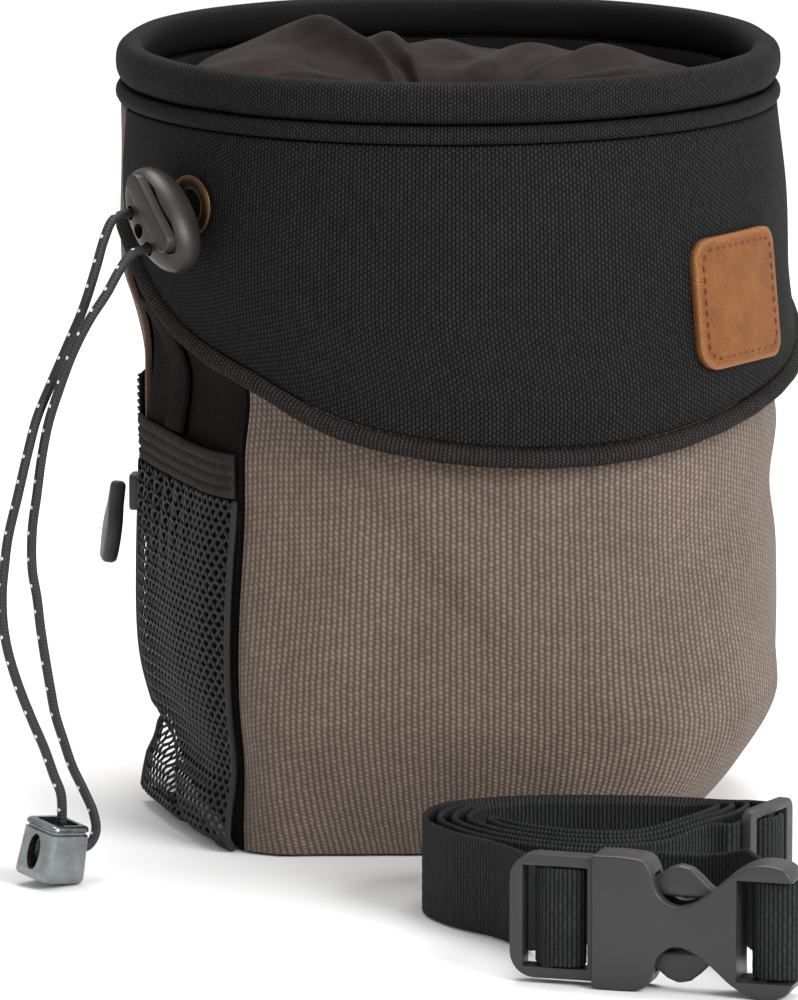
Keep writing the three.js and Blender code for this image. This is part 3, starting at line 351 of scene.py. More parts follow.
def smoothEdges(piece, angle=35):
    # smooth shading that keeps edges sharper than that angle
    mesh = piece.data
    mesh.shade_smooth()
    mesh.set_sharp_from_angle(angle=math.radians(angle))
    return piece


def place(piece, spot, turn=None):
    matrix = Matrix.Translation(spot)
    if turn is not None:
        matrix = matrix @ turn.to_4x4()
    piece.data.transform(matrix)
    return piece


def turnAbout(degrees, axis, size=3):
    return Matrix.Rotation(math.radians(degrees), size, axis)


def shift(piece, spot, degrees=0, about="X"):
    piece.data.transform(Matrix.Translation(spot) @ turnAbout(degrees, about, 4))
    return piece


def dress(piece, material, nodes=()):
    piece.data.materials.clear()
    piece.data.materials.append(material)
    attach(piece, "root")
    if nodes:
        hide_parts(*nodes)
    return piece


# Materials
def addNode(tree, kind, inputs=(), **settings):
    node = tree.nodes.new(kind)
    for key, value in settings.items():
        setattr(node, key, value)
    for key, value in dict(inputs).items():
        if isinstance(value, bpy.types.NodeSocket):
            tree.links.new(value, node.inputs[key])
        else:
            node.inputs[key].default_value = value
    return node


def work(tree, operation, *values):
    return addNode(tree, "ShaderNodeMath", dict(enumerate(values)), operation=operation).outputs[0]


def plus(tree, *values):
    return work(tree, "ADD", *values)


def times(tree, *values):
    return work(tree, "MULTIPLY", *values)


def over(tree, *values):
    return work(tree, "DIVIDE", *values)


def wave(tree, value, turns):
    return work(tree, "SINE", times(tree, value, turns * math.pi))


def fromMiddle(tree, value, size):
    # how far the value lies from the middle of its own cell
    return times(tree, work(tree, "SUBTRACT", work(tree, "FRACT", value), 0.5), size)


def blendColours(tree, share, low, high):
    return addNode(tree, "ShaderNodeMix", {"Factor": share, 6: low, 7: high}, data_type="RGBA").outputs[2]


def scaleColour(tree, colour, share):
    return addNode(tree, "ShaderNodeVectorMath", {0: colour, "Scale": share}, operation="SCALE").outputs[0]


def shaded(colour, share):
    return tuple(min(1.0, value * share) for value in colour[:3]) + (1.0,)


def rangeOf(tree, value, low, high, newLow=0.0, newHigh=1.0):
    return addNode(tree, "ShaderNodeMapRange", {"Value": value, "From Min": low, "From Max": high,
                                                "To Min": newLow, "To Max": newHigh}).outputs[0]


def clothSpot(tree):
    # the cloth's own coordinates in metres, across and along its threads
    spot = addNode(tree, "ShaderNodeUVMap", uv_map="cloth").outputs[0]
    parts = addNode(tree, "ShaderNodeSeparateXYZ", {0: spot})
    return spot, parts.outputs[0], parts.outputs[1]


def solidSpot(tree):
    return addNode(tree, "ShaderNodeTexCoord").outputs["Object"]


def noiseAt(tree, spot, scale, detail=3.0, rough=0.55):
    return addNode(tree, "ShaderNodeTexNoise", {"Vector": spot, "Scale": scale, "Detail": detail,
                                                "Roughness": rough}).outputs[0]


def startMaterial(name, roughness, **constants):
    material = bpy.data.materials.new(name)
    material.use_nodes = True
    shader = material.node_tree.nodes["Principled BSDF"]
    shader.inputs["Roughness"].default_value = roughness
    for key, value in constants.items():
        shader.inputs[key.replace("_", " ")].default_value = value
    return material, material.node_tree, shader


def linkLook(tree, shader, colour, height, relief, roughness=None):
    tree.links.new(colour, shader.inputs["Base Color"])
    if roughness is not None:
        tree.links.new(roughness, shader.inputs["Roughness"])
    bump = addNode(tree, "ShaderNodeBump", {"Height": height, "Distance": relief, "Strength": 1.0})
    tree.links.new(bump.outputs[0], shader.inputs["Normal"])


usualCloth = {
    "stagger": 0.5,           # how far each column's floats are shifted, as a share of a float
    "ridgePower": 0.7,        # higher makes the threads' tops narrower
    "floatPower": 0.7,
    "gapShadeHeight": 0.15,        # the gaps' colour, painted shade between the threads, ends here and the thread's is full at the top height
    "topHeight": 0.9,
    "wanderScale": 260.0,
    "threadChange": 0.16,     # these four change the shade up and down by that share
    "mottle": 0.1,
    "grain": 0.1,
    "blotch": 0.04,
    "mottleScale": 55.0,
    "grainScale": 3200.0,
    "blotchScale": 17.0,
    "fuzz": 0.22,
    "fuzzScale": 2600.0,
    "roughChange": 0.08,
    "sheen": 0.0,
    "gloss": 0.25,
}
# each gap colour is painted shade: a darker copy of the thread colour for the low parts between the threads
canvasLook = dict(usualCloth, thread=fromSrgb(127, 111, 100), gap=fromSrgb(83, 71, 62), pitchAcross=1.34 * mm,
                  pitchAlong=1.2 * mm, ridgePower=1.3, floatPower=1.2, floatShare=0.6, wander=0.55, roughness=0.93,
                  sheen=0.1, relief=0.3 * mm, threadChange=0.12, grain=0.16, blotch=0.07)
backCanvasLook = dict(canvasLook, thread=fromSrgb(122, 95, 82), gap=fromSrgb(74, 57, 48))
ballisticLook = dict(usualCloth, thread=fromSrgb(40, 40, 40), gap=fromSrgb(10, 10, 10), pitchAcross=0.82 * mm,
                     pitchAlong=1.15 * mm, floatShare=0.85, wander=0.12, roughness=0.7, gloss=0.05,
                     relief=0.16 * mm, threadChange=0.18, grain=0.12, mottle=0.06)
tapeLook = dict(ballisticLook, thread=fromSrgb(42, 42, 42), pitchAcross=0.7 * mm, pitchAlong=0.95 * mm)
pipingLook = dict(usualCloth, thread=fromSrgb(52, 49, 47), gap=fromSrgb(19, 18, 17), pitchAcross=0.9 * mm,
                  pitchAlong=0.75 * mm, floatShare=0.7, wander=0.2, roughness=0.85, gloss=0.05, relief=0.2 * mm,
                  grain=0.15)
sideLook = dict(usualCloth, thread=fromSrgb(34, 31, 28), gap=fromSrgb(15, 13, 12), pitchAcross=0.75 * mm,
                pitchAlong=0.75 * mm, floatShare=0.7, wander=0.25, roughness=0.9, gloss=0.03, relief=0.14 * mm,
                grain=0.14)
elasticLook = dict(usualCloth, thread=fromSrgb(58, 53, 49), gap=fromSrgb(25, 23, 21), pitchAcross=0.55 * mm,
                   pitchAlong=2.1 * mm, stagger=0.0, floatShare=0.25, wander=0.1, roughness=0.88, gloss=0.05,
                   relief=0.1 * mm, grain=0.12)
liningLook = dict(usualCloth, thread=fromSrgb(22, 22, 23), gap=fromSrgb(13, 13, 14), pitchAcross=0.4 * mm,
                  pitchAlong=0.4 * mm, floatShare=0.6, wander=0.05, roughness=0.6, gloss=0.06, relief=0.04 * mm)
webbingLook = dict(usualCloth, thread=fromSrgb(46, 47, 47), gap=fromSrgb(11, 11, 11), pitchAcross=0.85 * mm,
                   pitchAlong=2.5 * mm, floatShare=0.3, wander=0.1, roughness=0.78, gloss=0.08,
                   relief=0.18 * mm, threadChange=0.12)


def weave(tree, look):
    # rows of rounded threads: their height from 0 to 1, and a number of its own for each float
    spot, across, along = clothSpot(tree)
    wander = noiseAt(tree, spot, look["wanderScale"], 2.0)
    sway = times(tree, work(tree, "SUBTRACT", wander, 0.5), look["wander"] * mm)
    column = over(tree, plus(tree, across, sway), look["pitchAcross"])
    number = work(tree, "FLOOR", column)
    row = over(tree, plus(tree, along, sway), look["pitchAlong"])
    row = plus(tree, row, times(tree, number, look["stagger"]))
    ridge = work(tree, "POWER", wave(tree, work(tree, "FRACT", column), 1), look["ridgePower"])
    floats = work(tree, "POWER", wave(tree, work(tree, "FRACT", row), 1), look["floatPower"])
    share = look["floatShare"]
    height = times(tree, ridge, plus(tree, 1 - share, times(tree, floats, share)))
    cell = addNode(tree, "ShaderNodeCombineXYZ", {0: number, 1: work(tree, "FLOOR", row)}).outputs[0]
    lot = addNode(tree, "ShaderNodeTexWhiteNoise", {"Vector": cell}, noise_dimensions="3D").outputs[0]
    return spot, height, lot


def clothMaterial(name, look):
    material, tree, shader = startMaterial(name, look["roughness"], Sheen_Weight=look["sheen"],
                                           Sheen_Roughness=0.5, Specular_IOR_Level=look["gloss"])
    spot, height, lot = weave(tree, look)
    # the low parts of the weave take the gap colour: painted shade between the threads
    shift = rangeOf(tree, height, look["gapShadeHeight"], look["topHeight"])
    colour = blendColours(tree, shift, look["gap"], look["thread"])
    changes = {
        "threadChange": lot,
        "mottle": rangeOf(tree, noiseAt(tree, spot, look["mottleScale"], 5.0, 0.6), 0.3, 0.72),
        "grain": rangeOf(tree, noiseAt(tree, spot, look["grainScale"], 3.0, 0.7), 0.3, 0.7),
        "blotch": rangeOf(tree, noiseAt(tree, spot, look["blotchScale"], 3.0, 0.5), 0.3, 0.7),
    }
    for key, value in changes.items():
        colour = scaleColour(tree, colour, rangeOf(tree, value, 0.0, 1.0, 1 - look[key], 1 + look[key]))
    rough = rangeOf(tree, height, 0.0, 1.0, min(1.0, look["roughness"] + look["roughChange"]),
                    look["roughness"] - look["roughChange"])
    fuzz = times(tree, noiseAt(tree, spot, look["fuzzScale"], 2.0), look["fuzz"])
    linkLook(tree, shader, colour, plus(tree, height, fuzz), look["relief"], rough)
    return material


fleeceLook = {
    # deep and high are the fleece in shade and in light: painted shade and sheen
    "deep": fromSrgb(26, 20, 18),
    "high": fromSrgb(50, 41, 38),
    "pileScale": 2200.0,
    "sheenPatchScale": 110.0,        # the broad patches where the pile lies one way, painted as sheen that lightens the colour
    "roughness": 0.75,
    "sheen": 0.04,
    "relief": 0.07 * mm,
}


def fleeceMaterial():
    look = fleeceLook
    material, tree, shader = startMaterial("brownFleece", look["roughness"], Sheen_Weight=look["sheen"],
                                           Sheen_Roughness=0.4, Specular_IOR_Level=0.06)
    spot = solidSpot(tree)
    pile = noiseAt(tree, spot, look["pileScale"], 3.0, 0.6)
    sheenPatch = noiseAt(tree, spot, look["sheenPatchScale"], 4.0, 0.6)
    # the pile's fine random tone, times broad patches of painted sheen
    share = times(tree, rangeOf(tree, pile, 0.25, 0.75, 0.6, 1.0), rangeOf(tree, sheenPatch, 0.25, 0.75))
    colour = blendColours(tree, share, look["deep"], look["high"])
    linkLook(tree, shader, colour, plus(tree, pile, sheenPatch), look["relief"])
    return material


leatherLook = {
    "base": fromSrgb(139, 83, 32),
    "dark": fromSrgb(116, 67, 24),
    "burnish": fromSrgb(150, 99, 55),
    "cloudScale": 160.0,
    "poreScale": 1500.0,
    "grainScale": 2400.0,
    "roughness": 0.58,
    "relief": 0.12 * mm,
}


def leatherMaterial():
    look = leatherLook
    material, tree, shader = startMaterial("tanLeather", look["roughness"], Specular_IOR_Level=0.35)
    spot = solidSpot(tree)
    cloud = rangeOf(tree, noiseAt(tree, spot, look["cloudScale"], 5.0, 0.6), 0.35, 0.7)
    stain = blendColours(tree, cloud, look["dark"], look["base"])
    pores = addNode(tree, "ShaderNodeTexVoronoi", {"Vector": spot, "Scale": look["poreScale"]},
                    feature="DISTANCE_TO_EDGE").outputs[0]
    crease = rangeOf(tree, pores, 0.0, 0.12)
    edge = addNode(tree, "ShaderNodeAttribute", attribute_name="burnish").outputs["Fac"]
    rubbed = blendColours(tree, times(tree, edge, 0.75), stain, look["burnish"])
    fine = noiseAt(tree, spot, look["grainScale"], 3.0)
    # colour darkened down to 0.82 in the grain's grooves: painted shade
    linkLook(tree, shader, scaleColour(tree, rubbed, rangeOf(tree, crease, 0.0, 1.0, 0.82, 1.0)),
             plus(tree, crease, times(tree, fine, 0.5)), look["relief"],
             rangeOf(tree, fine, 0.3, 0.7, look["roughness"] - 0.08, look["roughness"] + 0.14))
    return material


plasticLook = {"base": fromSrgb(47, 47, 48), "roughness": 0.42, "relief": 0.03 * mm, "grainScale": 3800.0,
               "cloudScale": 180.0, "scuffScale": 700.0, "scuffs": 0.35, "scuffLight": 1.55, "cloudDark": 0.85}
lockLook = dict(plasticLook, base=fromSrgb(38, 35, 31), roughness=0.4)


def mouldedMaterial(name, look):
    material, tree, shader = startMaterial(name, look["roughness"], Specular_IOR_Level=0.45)
    spot = solidSpot(tree)
    grain = noiseAt(tree, spot, look["grainScale"], 2.0)
    cloud = noiseAt(tree, spot, look["cloudScale"], 4.0, 0.6)
    scuff = rangeOf(tree, noiseAt(tree, spot, look["scuffScale"], 6.0, 0.7), 0.58, 0.78)
    dark, light = shaded(look["base"], look["cloudDark"]), shaded(look["base"], look["scuffLight"])
    base = blendColours(tree, rangeOf(tree, cloud, 0.3, 0.7), dark, look["base"])
    colour = blendColours(tree, times(tree, scuff, look["scuffs"]), base, light)
    linkLook(tree, shader, colour, plus(tree, grain, times(tree, cloud, 0.4)), look["relief"],
             rangeOf(tree, cloud, 0.25, 0.75, look["roughness"] - 0.07, look["roughness"] + 0.1))
    return material


metalLook = {"base": fromSrgb(150, 155, 155), "roughness": 0.24, "relief": 0.02 * mm, "cloudScale": 220.0,
             "cloudDark": 0.62, "scratchScale": 900.0, "scratchStretch": 14.0}
eyeletLook = dict(metalLook, base=fromSrgb(104, 80, 56), roughness=0.42)


def metalMaterial(name, look):
    material, tree, shader = startMaterial(name, look["roughness"], Metallic=1.0)
    spot = solidSpot(tree)
    cloud = noiseAt(tree, spot, look["cloudScale"], 5.0, 0.65)
    stretched = addNode(tree, "ShaderNodeMapping", {"Vector": spot, "Scale": (1.0, 1.0, look["scratchStretch"])})
    scratch = noiseAt(tree, stretched.outputs[0], look["scratchScale"], 3.0)
    dark = shaded(look["base"], look["cloudDark"])
    colour = blendColours(tree, rangeOf(tree, cloud, 0.3, 0.7), dark, look["base"])
    worn = plus(tree, cloud, scratch)
    linkLook(tree, shader, colour, scratch, look["relief"],
             rangeOf(tree, worn, 0.7, 1.3, look["roughness"] - 0.08, look["roughness"] + 0.14))
    return material


cordLook = {
    # dark and light are the cord in the braid's hollows and on its crests: painted shade in the hollows
    "dark": fromSrgb(18, 18, 20),
    "light": fromSrgb(55, 52, 56),
    "fleck": fromSrgb(232, 236, 240),
    "fleckPitch": 5.4 * mm,
    "fleckSize": 0.46 * mm,
    "braidPitch": 1.5 * mm,
    "girth": math.pi * 2 * mm,
    "relief": 0.12 * mm,
    "roughness": 0.55,
}


def cordMaterial():
    look = cordLook
    material, tree, shader = startMaterial("braidedCord", look["roughness"], Specular_IOR_Level=0.4)
    _, along, around = clothSpot(tree)
    turns = over(tree, around, look["girth"] / 4)
    run = over(tree, along, look["braidPitch"])
    left = wave(tree, plus(tree, run, turns), 2)
    right = wave(tree, work(tree, "SUBTRACT", run, turns), 2)
    braid = rangeOf(tree, times(tree, left, right), -1.0, 1.0)
    # the braid's hollows take the dark colour: painted shade in the braid
    base = blendColours(tree, braid, look["dark"], look["light"])
    # white flecks in two lanes, half a pitch apart
    lane = over(tree, around, look["girth"] / 2)
    step = plus(tree, over(tree, along, look["fleckPitch"]), times(tree, work(tree, "FLOOR", lane), 0.5))
    offAlong = fromMiddle(tree, step, look["fleckPitch"])
    offAround = fromMiddle(tree, lane, look["girth"] / 2)
    away = work(tree, "SQRT", plus(tree, times(tree, offAlong, offAlong), times(tree, offAround, offAround)))
    fleck = rangeOf(tree, away, look["fleckSize"], look["fleckSize"] * 0.75)
    colour = blendColours(tree, fleck, base, look["fleck"])
    linkLook(tree, shader, colour, plus(tree, braid, fleck), look["relief"])
    return material


threadLook = {"twistScale": 2600.0, "dark": 0.6, "relief": 0.08 * mm}
netLook = {"colour": fromSrgb(38, 39, 41), "roughness": 0.6}


def plainThread(name, colour, roughness=0.7):
    material, tree, shader = startMaterial(name, roughness, Specular_IOR_Level=0.3)
    twist = noiseAt(tree, solidSpot(tree), threadLook["twistScale"], 3.0, 0.7)
    colour = blendColours(tree, rangeOf(tree, twist, 0.3, 0.7), shaded(colour, threadLook["dark"]), colour)
    linkLook(tree, shader, colour, twist, threadLook["relief"])
    return material


canvas = clothMaterial("ribbedCanvas", canvasLook)
backCanvas = clothMaterial("brownBackCanvas", backCanvasLook)
ballistic = clothMaterial("ballisticWeave", ballisticLook)
tapeCloth = clothMaterial("rimWeave", tapeLook)
pipingCloth = clothMaterial("pipingWeave", pipingLook)
sideCloth = clothMaterial("charcoalCloth", sideLook)
elasticCloth = clothMaterial("ribbedElastic", elasticLook)
liningCloth = clothMaterial("liningNylon", liningLook)
webbing = clothMaterial("beltWebbing", webbingLook)
fleece = fleeceMaterial()
leather = leatherMaterial()
netThread = plainThread("netThread", netLook["colour"], netLook["roughness"])
blackPlastic = mouldedMaterial("blackPlastic", plasticLook)
lockPlastic = mouldedMaterial("lockPlastic", lockLook)
cordMetal = metalMaterial("darkMetal", metalLook)
eyeletMetal = metalMaterial("agedBrass", eyeletLook)
cordCloth = cordMaterial()
tanThread = plainThread("tanThread", fromSrgb(110, 58, 34))
blackThread = plainThread("blackThread", fromSrgb(34, 34, 35))
print("materials made")


# Drawcord: the two strands' routes from the lock's seat, in mm, with the height as a share of the seat's
lockSeat = (-61.6, -48.8, 134.4)
drawcord = {
    "diameter": 2 * mm,
    "upperLength": 0.139,
    "lowerLength": 0.142,
    "braidDeep": 0.035 * mm,
    "upper": [
        (-5, 3.2, 1.0089), (-9.3, -0.3, 1.0089), (-11.8, -2.4, 1.0015), (-13.6, -4.8, 0.9732),
        (-15.3, -7.4, 0.9301), (-17.9, -9.2, 0.8705), (-20.9, -10.2, 0.8185), (-24.9, -13.2, 0.7515),
        (-27.4, -14.7, 0.7068), (-29.4, -16.2, 0.651), (-31.4, -18.2, 0.5878), (-33.4, -19.2, 0.5246),
        (-34.1, -20.2, 0.4836), (-34.6, -21.2, 0.4427), (-34.4, -22.7, 0.3981), (-33.6, -23.7, 0.3609),
        (-32.2, -24.7, 0.3237), (-30.4, -25.7, 0.2865), (-28.1, -26.7, 0.2455), (-25.7, -27.7, 0.2046),
        (-23.9, -28.7, 0.1674), (-22.4, -29.2, 0.1376), (-22.2, -29.5, 0.0893),
    ],
    "lower": [
        (-1.2, -1.7, 0.9583), (-5.5, -5.2, 0.9583), (-8, -7.4, 0.9524), (-10.2, -10.2, 0.933),
        (-12.8, -13.2, 0.9003), (-16.6, -15.8, 0.8586), (-20, -16.6, 0.808), (-22.8, -16.2, 0.7515),
        (-24.9, -15.6, 0.7024), (-26.4, -15.8, 0.6473), (-27.4, -17.2, 0.5915), (-28.4, -17.7, 0.5357),
        (-28.4, -19.2, 0.4762), (-27.4, -20.2, 0.4315), (-26.7, -21, 0.3869), (-25.8, -21.7, 0.3423),
        (-24.8, -22.2, 0.2976), (-23.7, -22.6, 0.253), (-22, -23, 0.2121), (-20.2, -23, 0.1711),
        (-17.9, -22.8, 0.1339), (-15.9, -23, 0.0982), (-15.4, -23.6, 0.0699), (-16.8, -24.8, 0.0506),
        (-19.8, -26.8, 0.0461),
    ],
}


def fromLock(route):
    return [((lockSeat[0] + x) * mm, (lockSeat[1] + y) * mm, lockSeat[2] * z * mm) for x, y, z in route]


def braidRelief(run, turn):
    run = 2 * np.pi * run / cordLook["braidPitch"]
    return drawcord["braidDeep"] * np.sin(run + 4 * turn) * np.sin(run - 4 * turn)


def makeStrand(name, route, node):
    path = routeOf(fromLock(route), 0.35 * mm)
    strand = tubePiece(name, path, drawcord["diameter"] / 2, 16, relief=braidRelief)
    dress(strand, cordCloth, [node])
    return strand, path


upperStrand, upperPath = makeStrand("upperStrand", drawcord["upper"], "drawcord_upper")
lowerStrand, lowerPath = makeStrand("lowerStrand", drawcord["lower"], "drawcord_lower")
for path in (upperPath, lowerPath):
    print("strand length", round(float(runOf(path)[-1]), 4))

# Metal end of the cord: a hollow block that leans, with an oval hole through its sides
cordEnd = {
    "wide": 10 * mm,
    "tall": 12.2 * mm,
    "wall": 1.6 * mm,
    "corner": 1.5 * mm,
    "wellCorner": 1.2 * mm,
    "foot": 1.12,             # how much wider the block is at its foot
    "lean": 10,
    "turn": 41,
    "spot": (-0.0866, -0.0795, 0.0011),
    "holeWide": 3.8 * mm,
    "holeTall": 7.6 * mm,
    "holeHeight": 0.47,
    "pinRadius": 1 * mm,
    "pinLow": 1.7 * mm,
    "pinTop": 9.6 * mm,
    "pinInset": 2.1 * mm,
}
# its side as heights and how far each is drawn in, in mm, with the groove under the rim
cordEndSide = [(0, 0.9), (0.25, 0.35), (0.9, 0.05), (2, 0), (5, 0), (8, 0), (10.2, 0), (10.35, 0.25),
               (10.55, 0.45), (10.85, 0.45), (11.05, 0.25), (11.2, 0), (11.8, 0.05), (12.1, 0.3), (12.2, 0.6)]


def makeCordEnd():
    look = cordEnd
    outline = np.array(roundedOutline(look["wide"], look["wide"], look["corner"], 8))
    rows = []
    for height, step in np.array(cordEndSide) * mm:
        grow = mix(look["foot"], 1.0, height / look["tall"])
        share = 1 - 2 * step / look["wide"]
        rows.append(np.column_stack([outline * grow * share, np.full(len(outline), height)]))
    places = np.array(rows)
    spread = np.zeros((len(rows), len(outline) + 1, 2))
    block = latticePiece("cordEnd", places, spread, caps=(0, -1))
    wellSize = look["wide"] - 2 * look["wall"]
    well = platePiece("well", roundedOutline(wellSize, wellSize, look["wellCorner"]), look["tall"])
    shift(well, (0, 0, look["tall"] / 2 + look["wall"]), 90)
    hole = platePiece("hole", [(look["holeWide"] / 2 * math.cos(t), look["holeTall"] / 2 * math.sin(t))
                               for t in turnsOf(28)], 3 * look["wide"])
    shift(hole, (0, 0, look["tall"] * look["holeHeight"]), 90, "Z")
    cutAway(block, [well, hole])
    upright = np.array([(0, 0, z) for z in np.linspace(look["pinLow"], look["pinTop"], 9)])
    pin = tubePiece("cordPin", upright, look["pinRadius"], 12, (1, 0, 0))
    shift(pin, (look["pinInset"] - look["wide"] / 2, 0, 0))
    turn = turnAbout(look["lean"], "Y") @ turnAbout(look["turn"], "Z")
    for piece in (block, pin):
        place(piece, look["spot"], turn)
    smoothEdges(block, 40)
    dress(block, cordMetal, ["cord_end"])
    dress(pin, lockPlastic)
    return block, pin


endBlock, endPin = makeCordEnd()
print("drawcord made")

# Body of the bag: the same sizes as the part's source, in metres and degrees from the front
bag = {
    "height": 165.5 * mm,
    "halfWidth": 67.6 * mm,
    "halfDepth": 66.2 * mm,
    "rimFlare": 1.8 * mm,
    "rimLean": -3.6 * mm,
    "footLean": -1 * mm,
    "baseTuck": 16.5 * mm,
    "tuckHeight": 30 * mm,
    "tuckPower": 1.6,
    "baseSquareness": 3,
    "rimSquareness": 2,
    "backSquareness": 2.25,
    "sideDepth": 62.6 * mm,
    "sideMiddle": -68,
    "seamSoftness": 1.2 * mm,
    "canvasWall": 1.5 * mm,
    "underCollar": 1.6 * mm,
    "gap": 0.3 * mm,
    "layerGap": 1 * mm,
}
seams = {"front": -43, "collarStart": -78, "collarEnd": 108, "pocketBack": -92, "gap": 0.5}
dents = [
    {"angle": 88, "height": 0.43, "long": 0.16, "wide": 0.05, "turn": 0, "depth": 0.09},
    {"angle": -10, "height": 0.39, "long": 0.17, "wide": 0.045, "turn": -48, "depth": 0.08},
    {"angle": 30, "height": 0.25, "long": 0.2, "wide": 0.06, "turn": 35, "depth": 0.06},
    {"angle": -32, "height": 0.3, "long": 0.14, "wide": 0.05, "turn": 70, "depth": 0.05},
    {"angle": 236, "height": 0.35, "long": 0.2, "wide": 0.07, "turn": 20, "depth": 0.08},
    {"angle": -74, "height": 0.11, "long": 0.24, "wide": 0.07, "turn": 0, "depth": 0.24},
    {"angle": -14, "height": 0.44, "long": 0.2, "wide": 0.016, "turn": -50, "depth": 0.035},
    {"angle": 60, "height": 0.3, "long": 0.12, "wide": 0.03, "turn": 15, "depth": 0.03},
]
hem = [
    {"angle": -78, "height": 0.768}, {"angle": -72, "height": 0.742}, {"angle": -64, "height": 0.697},
    {"angle": -56, "height": 0.655}, {"angle": -50, "height": 0.633}, {"angle": -44, "height": 0.616},
    {"angle": -37, "height": 0.6}, {"angle": -30, "height": 0.574}, {"angle": -22, "height": 0.55},
    {"angle": -12, "height": 0.534}, {"angle": 0, "height": 0.521}, {"angle": 12, "height": 0.515},
    {"angle": 24, "height": 0.514}, {"angle": 38, "height": 0.522}, {"angle": 52, "height": 0.54},
    {"angle": 66, "height": 0.56}, {"angle": 80, "height": 0.58}, {"angle": 94, "height": 0.61},
    {"angle": 108, "height": 0.65},
]
tucks = [
    {"angle": -180, "tuck": 0.75}, {"angle": -100, "tuck": 0.7}, {"angle": -80, "tuck": 0.6},
    {"angle": -62, "tuck": 0.35}, {"angle": -48, "tuck": 0.06}, {"angle": -42, "tuck": 0.1},
    {"angle": -36, "tuck": 0.36}, {"angle": -29, "tuck": 0.62}, {"angle": -18, "tuck": 0.76},
    {"angle": 10, "tuck": 0.85}, {"angle": 40, "tuck": 1.08}, {"angle": 62, "tuck": 1.25},
    {"angle": 82, "tuck": 1.1}, {"angle": 115, "tuck": 0.95}, {"angle": 180, "tuck": 0.75},
]
leanLow = 0.58 * bag["height"]
leanHigh = 0.72 * bag["height"]
squareTop = 0.46 * bag["height"]


def superRadius(halfWidth, halfDepth, power, angle):
    across = np.abs(np.sin(np.radians(angle))) / halfWidth
    along = np.abs(np.cos(np.radians(angle))) / halfDepth
    return (across ** power + along ** power) ** (-1 / power)


def bodyCentre(height):
    return mix(bag["footLean"], bag["rimLean"], smoothStep(height, leanLow, leanHigh))


def turnFrom(angle, start):
    return (angle - start + 540) % 360 - 180


def tuckAt(angle, height):
    share = softTable(tucks, "angle", "tuck", turnFrom(angle, 0), 2)
    return bag["baseTuck"] * share * np.maximum(0, 1 - height / bag["tuckHeight"]) ** bag["tuckPower"]


def rimPower(angle):
    # rounder in front than at the back
    return mix(bag["rimSquareness"], bag["backSquareness"], smoothStep(-np.cos(np.radians(angle)), 0, 0.5))


def dentAt(angle, height):
    depth = 0
    for dent in dents:
        turned = np.radians(turnFrom(angle, dent["angle"])) * bag["halfWidth"]
        up = height - dent["height"] * bag["height"]
        lean = math.radians(dent["turn"])
        long = (turned * math.cos(lean) + up * math.sin(lean)) / (dent["long"] * bag["height"])
        wide = (up * math.cos(lean) - turned * math.sin(lean)) / (dent["wide"] * bag["height"])
        depth = depth + dent["depth"] * bag["baseTuck"] * np.exp(-long ** 2 - wide ** 2)
    return depth


def bodyRadius(angle, height):
    rise = smoothStep(height, leanLow, leanHigh)
    tuck = tuckAt(angle, height)
    grow = bag["rimFlare"] * rise - tuck
    power = mix(bag["baseSquareness"], rimPower(angle), smoothStep(height, 0, squareTop))
    deepGrow = grow + rise * (bag["halfWidth"] - bag["halfDepth"])
    rounded = superRadius(bag["halfWidth"] + grow, bag["halfDepth"] + deepGrow, power, angle)
    away = turnFrom(angle, bag["sideMiddle"])
    near = np.abs(away) <= 60
    flat = np.where(near, (bag["sideDepth"] - tuck) / np.cos(np.radians(np.where(near, away, 0))), 1.0)
    soft = bag["seamSoftness"]
    least = np.minimum(rounded, flat) - soft * np.log1p(np.exp(-np.abs(rounded - flat) / soft))
    return mix(least, rounded, rise) - dentAt(angle, height)


def pointAt(angle, radius, height, centre):
    turn = np.radians(angle)
    return np.stack(np.broadcast_arrays(centre + radius * np.sin(turn), -radius * np.cos(turn), height), -1)


def onBody(angle, height, out):
    return pointAt(angle, bodyRadius(angle, height) + out, height, bodyCentre(height))


collarSize = {
    "topHalfWidth": 69.6 * mm,
    "lowHalfWidth": 71.2 * mm,
    "topHalfDepth": 69 * mm,
    "lowHalfDepth": 70.4 * mm,
    "lowest": 85 * mm,
    "wall": 1.7 * mm,
    "pipingRadius": 2 * mm,
    "pipingSunk": 0.3 * mm,
    "hemOverlap": 9 * mm,
    "puff": 1.7 * mm,
    "rollHeight": 8.6 * mm,
    "rollThick": 5.8 * mm,
    "rollProud": 0.5 * mm,
    "rollPower": 0.75,
    "tapeHeight": 3.6 * mm,
    "tapeThick": 2 * mm,
}
tapeTop = bag["height"] - collarSize["rollHeight"]
tapeLow = tapeTop - collarSize["tapeHeight"] - bag["gap"]


def hemAt(angle):
    return softTable(hem, "angle", "height", angle, 4) * bag["height"]


def collarRadius(angle, height):
    up = (height - collarSize["lowest"]) / (tapeLow - collarSize["lowest"])
    wide = mix(collarSize["lowHalfWidth"], collarSize["topHalfWidth"], up)
    deep = mix(collarSize["lowHalfDepth"], collarSize["topHalfDepth"], up)
    puff = collarSize["puff"] * np.sin(np.pi * np.clip(up, 0, 1)) * smoothStep(angle, -60, 20)
    return superRadius(wide, deep, rimPower(angle), angle) + puff


def onCollar(angle, height, out):
    return pointAt(angle, collarRadius(angle, height) + out, height, bodyCentre(height))


canvasFoot = bag["gap"]


def sideBackAt(height):
    share = np.clip((height - leanLow) / (leanHigh - leanLow), 0, 1)
    return mix(seams["pocketBack"], seams["collarStart"], share)


def tuckedUnder(height):
    return bag["underCollar"] * smoothStep(height, 0.5 * bag["height"], leanLow)


# the panels' slight waves, and how they fade out towards the seams and the foot
unevenCloth = {"pitch": 26 * mm, "seed": 11, "sideFade": 0.06, "footFade": 18 * mm, "rowPower": 1.15}


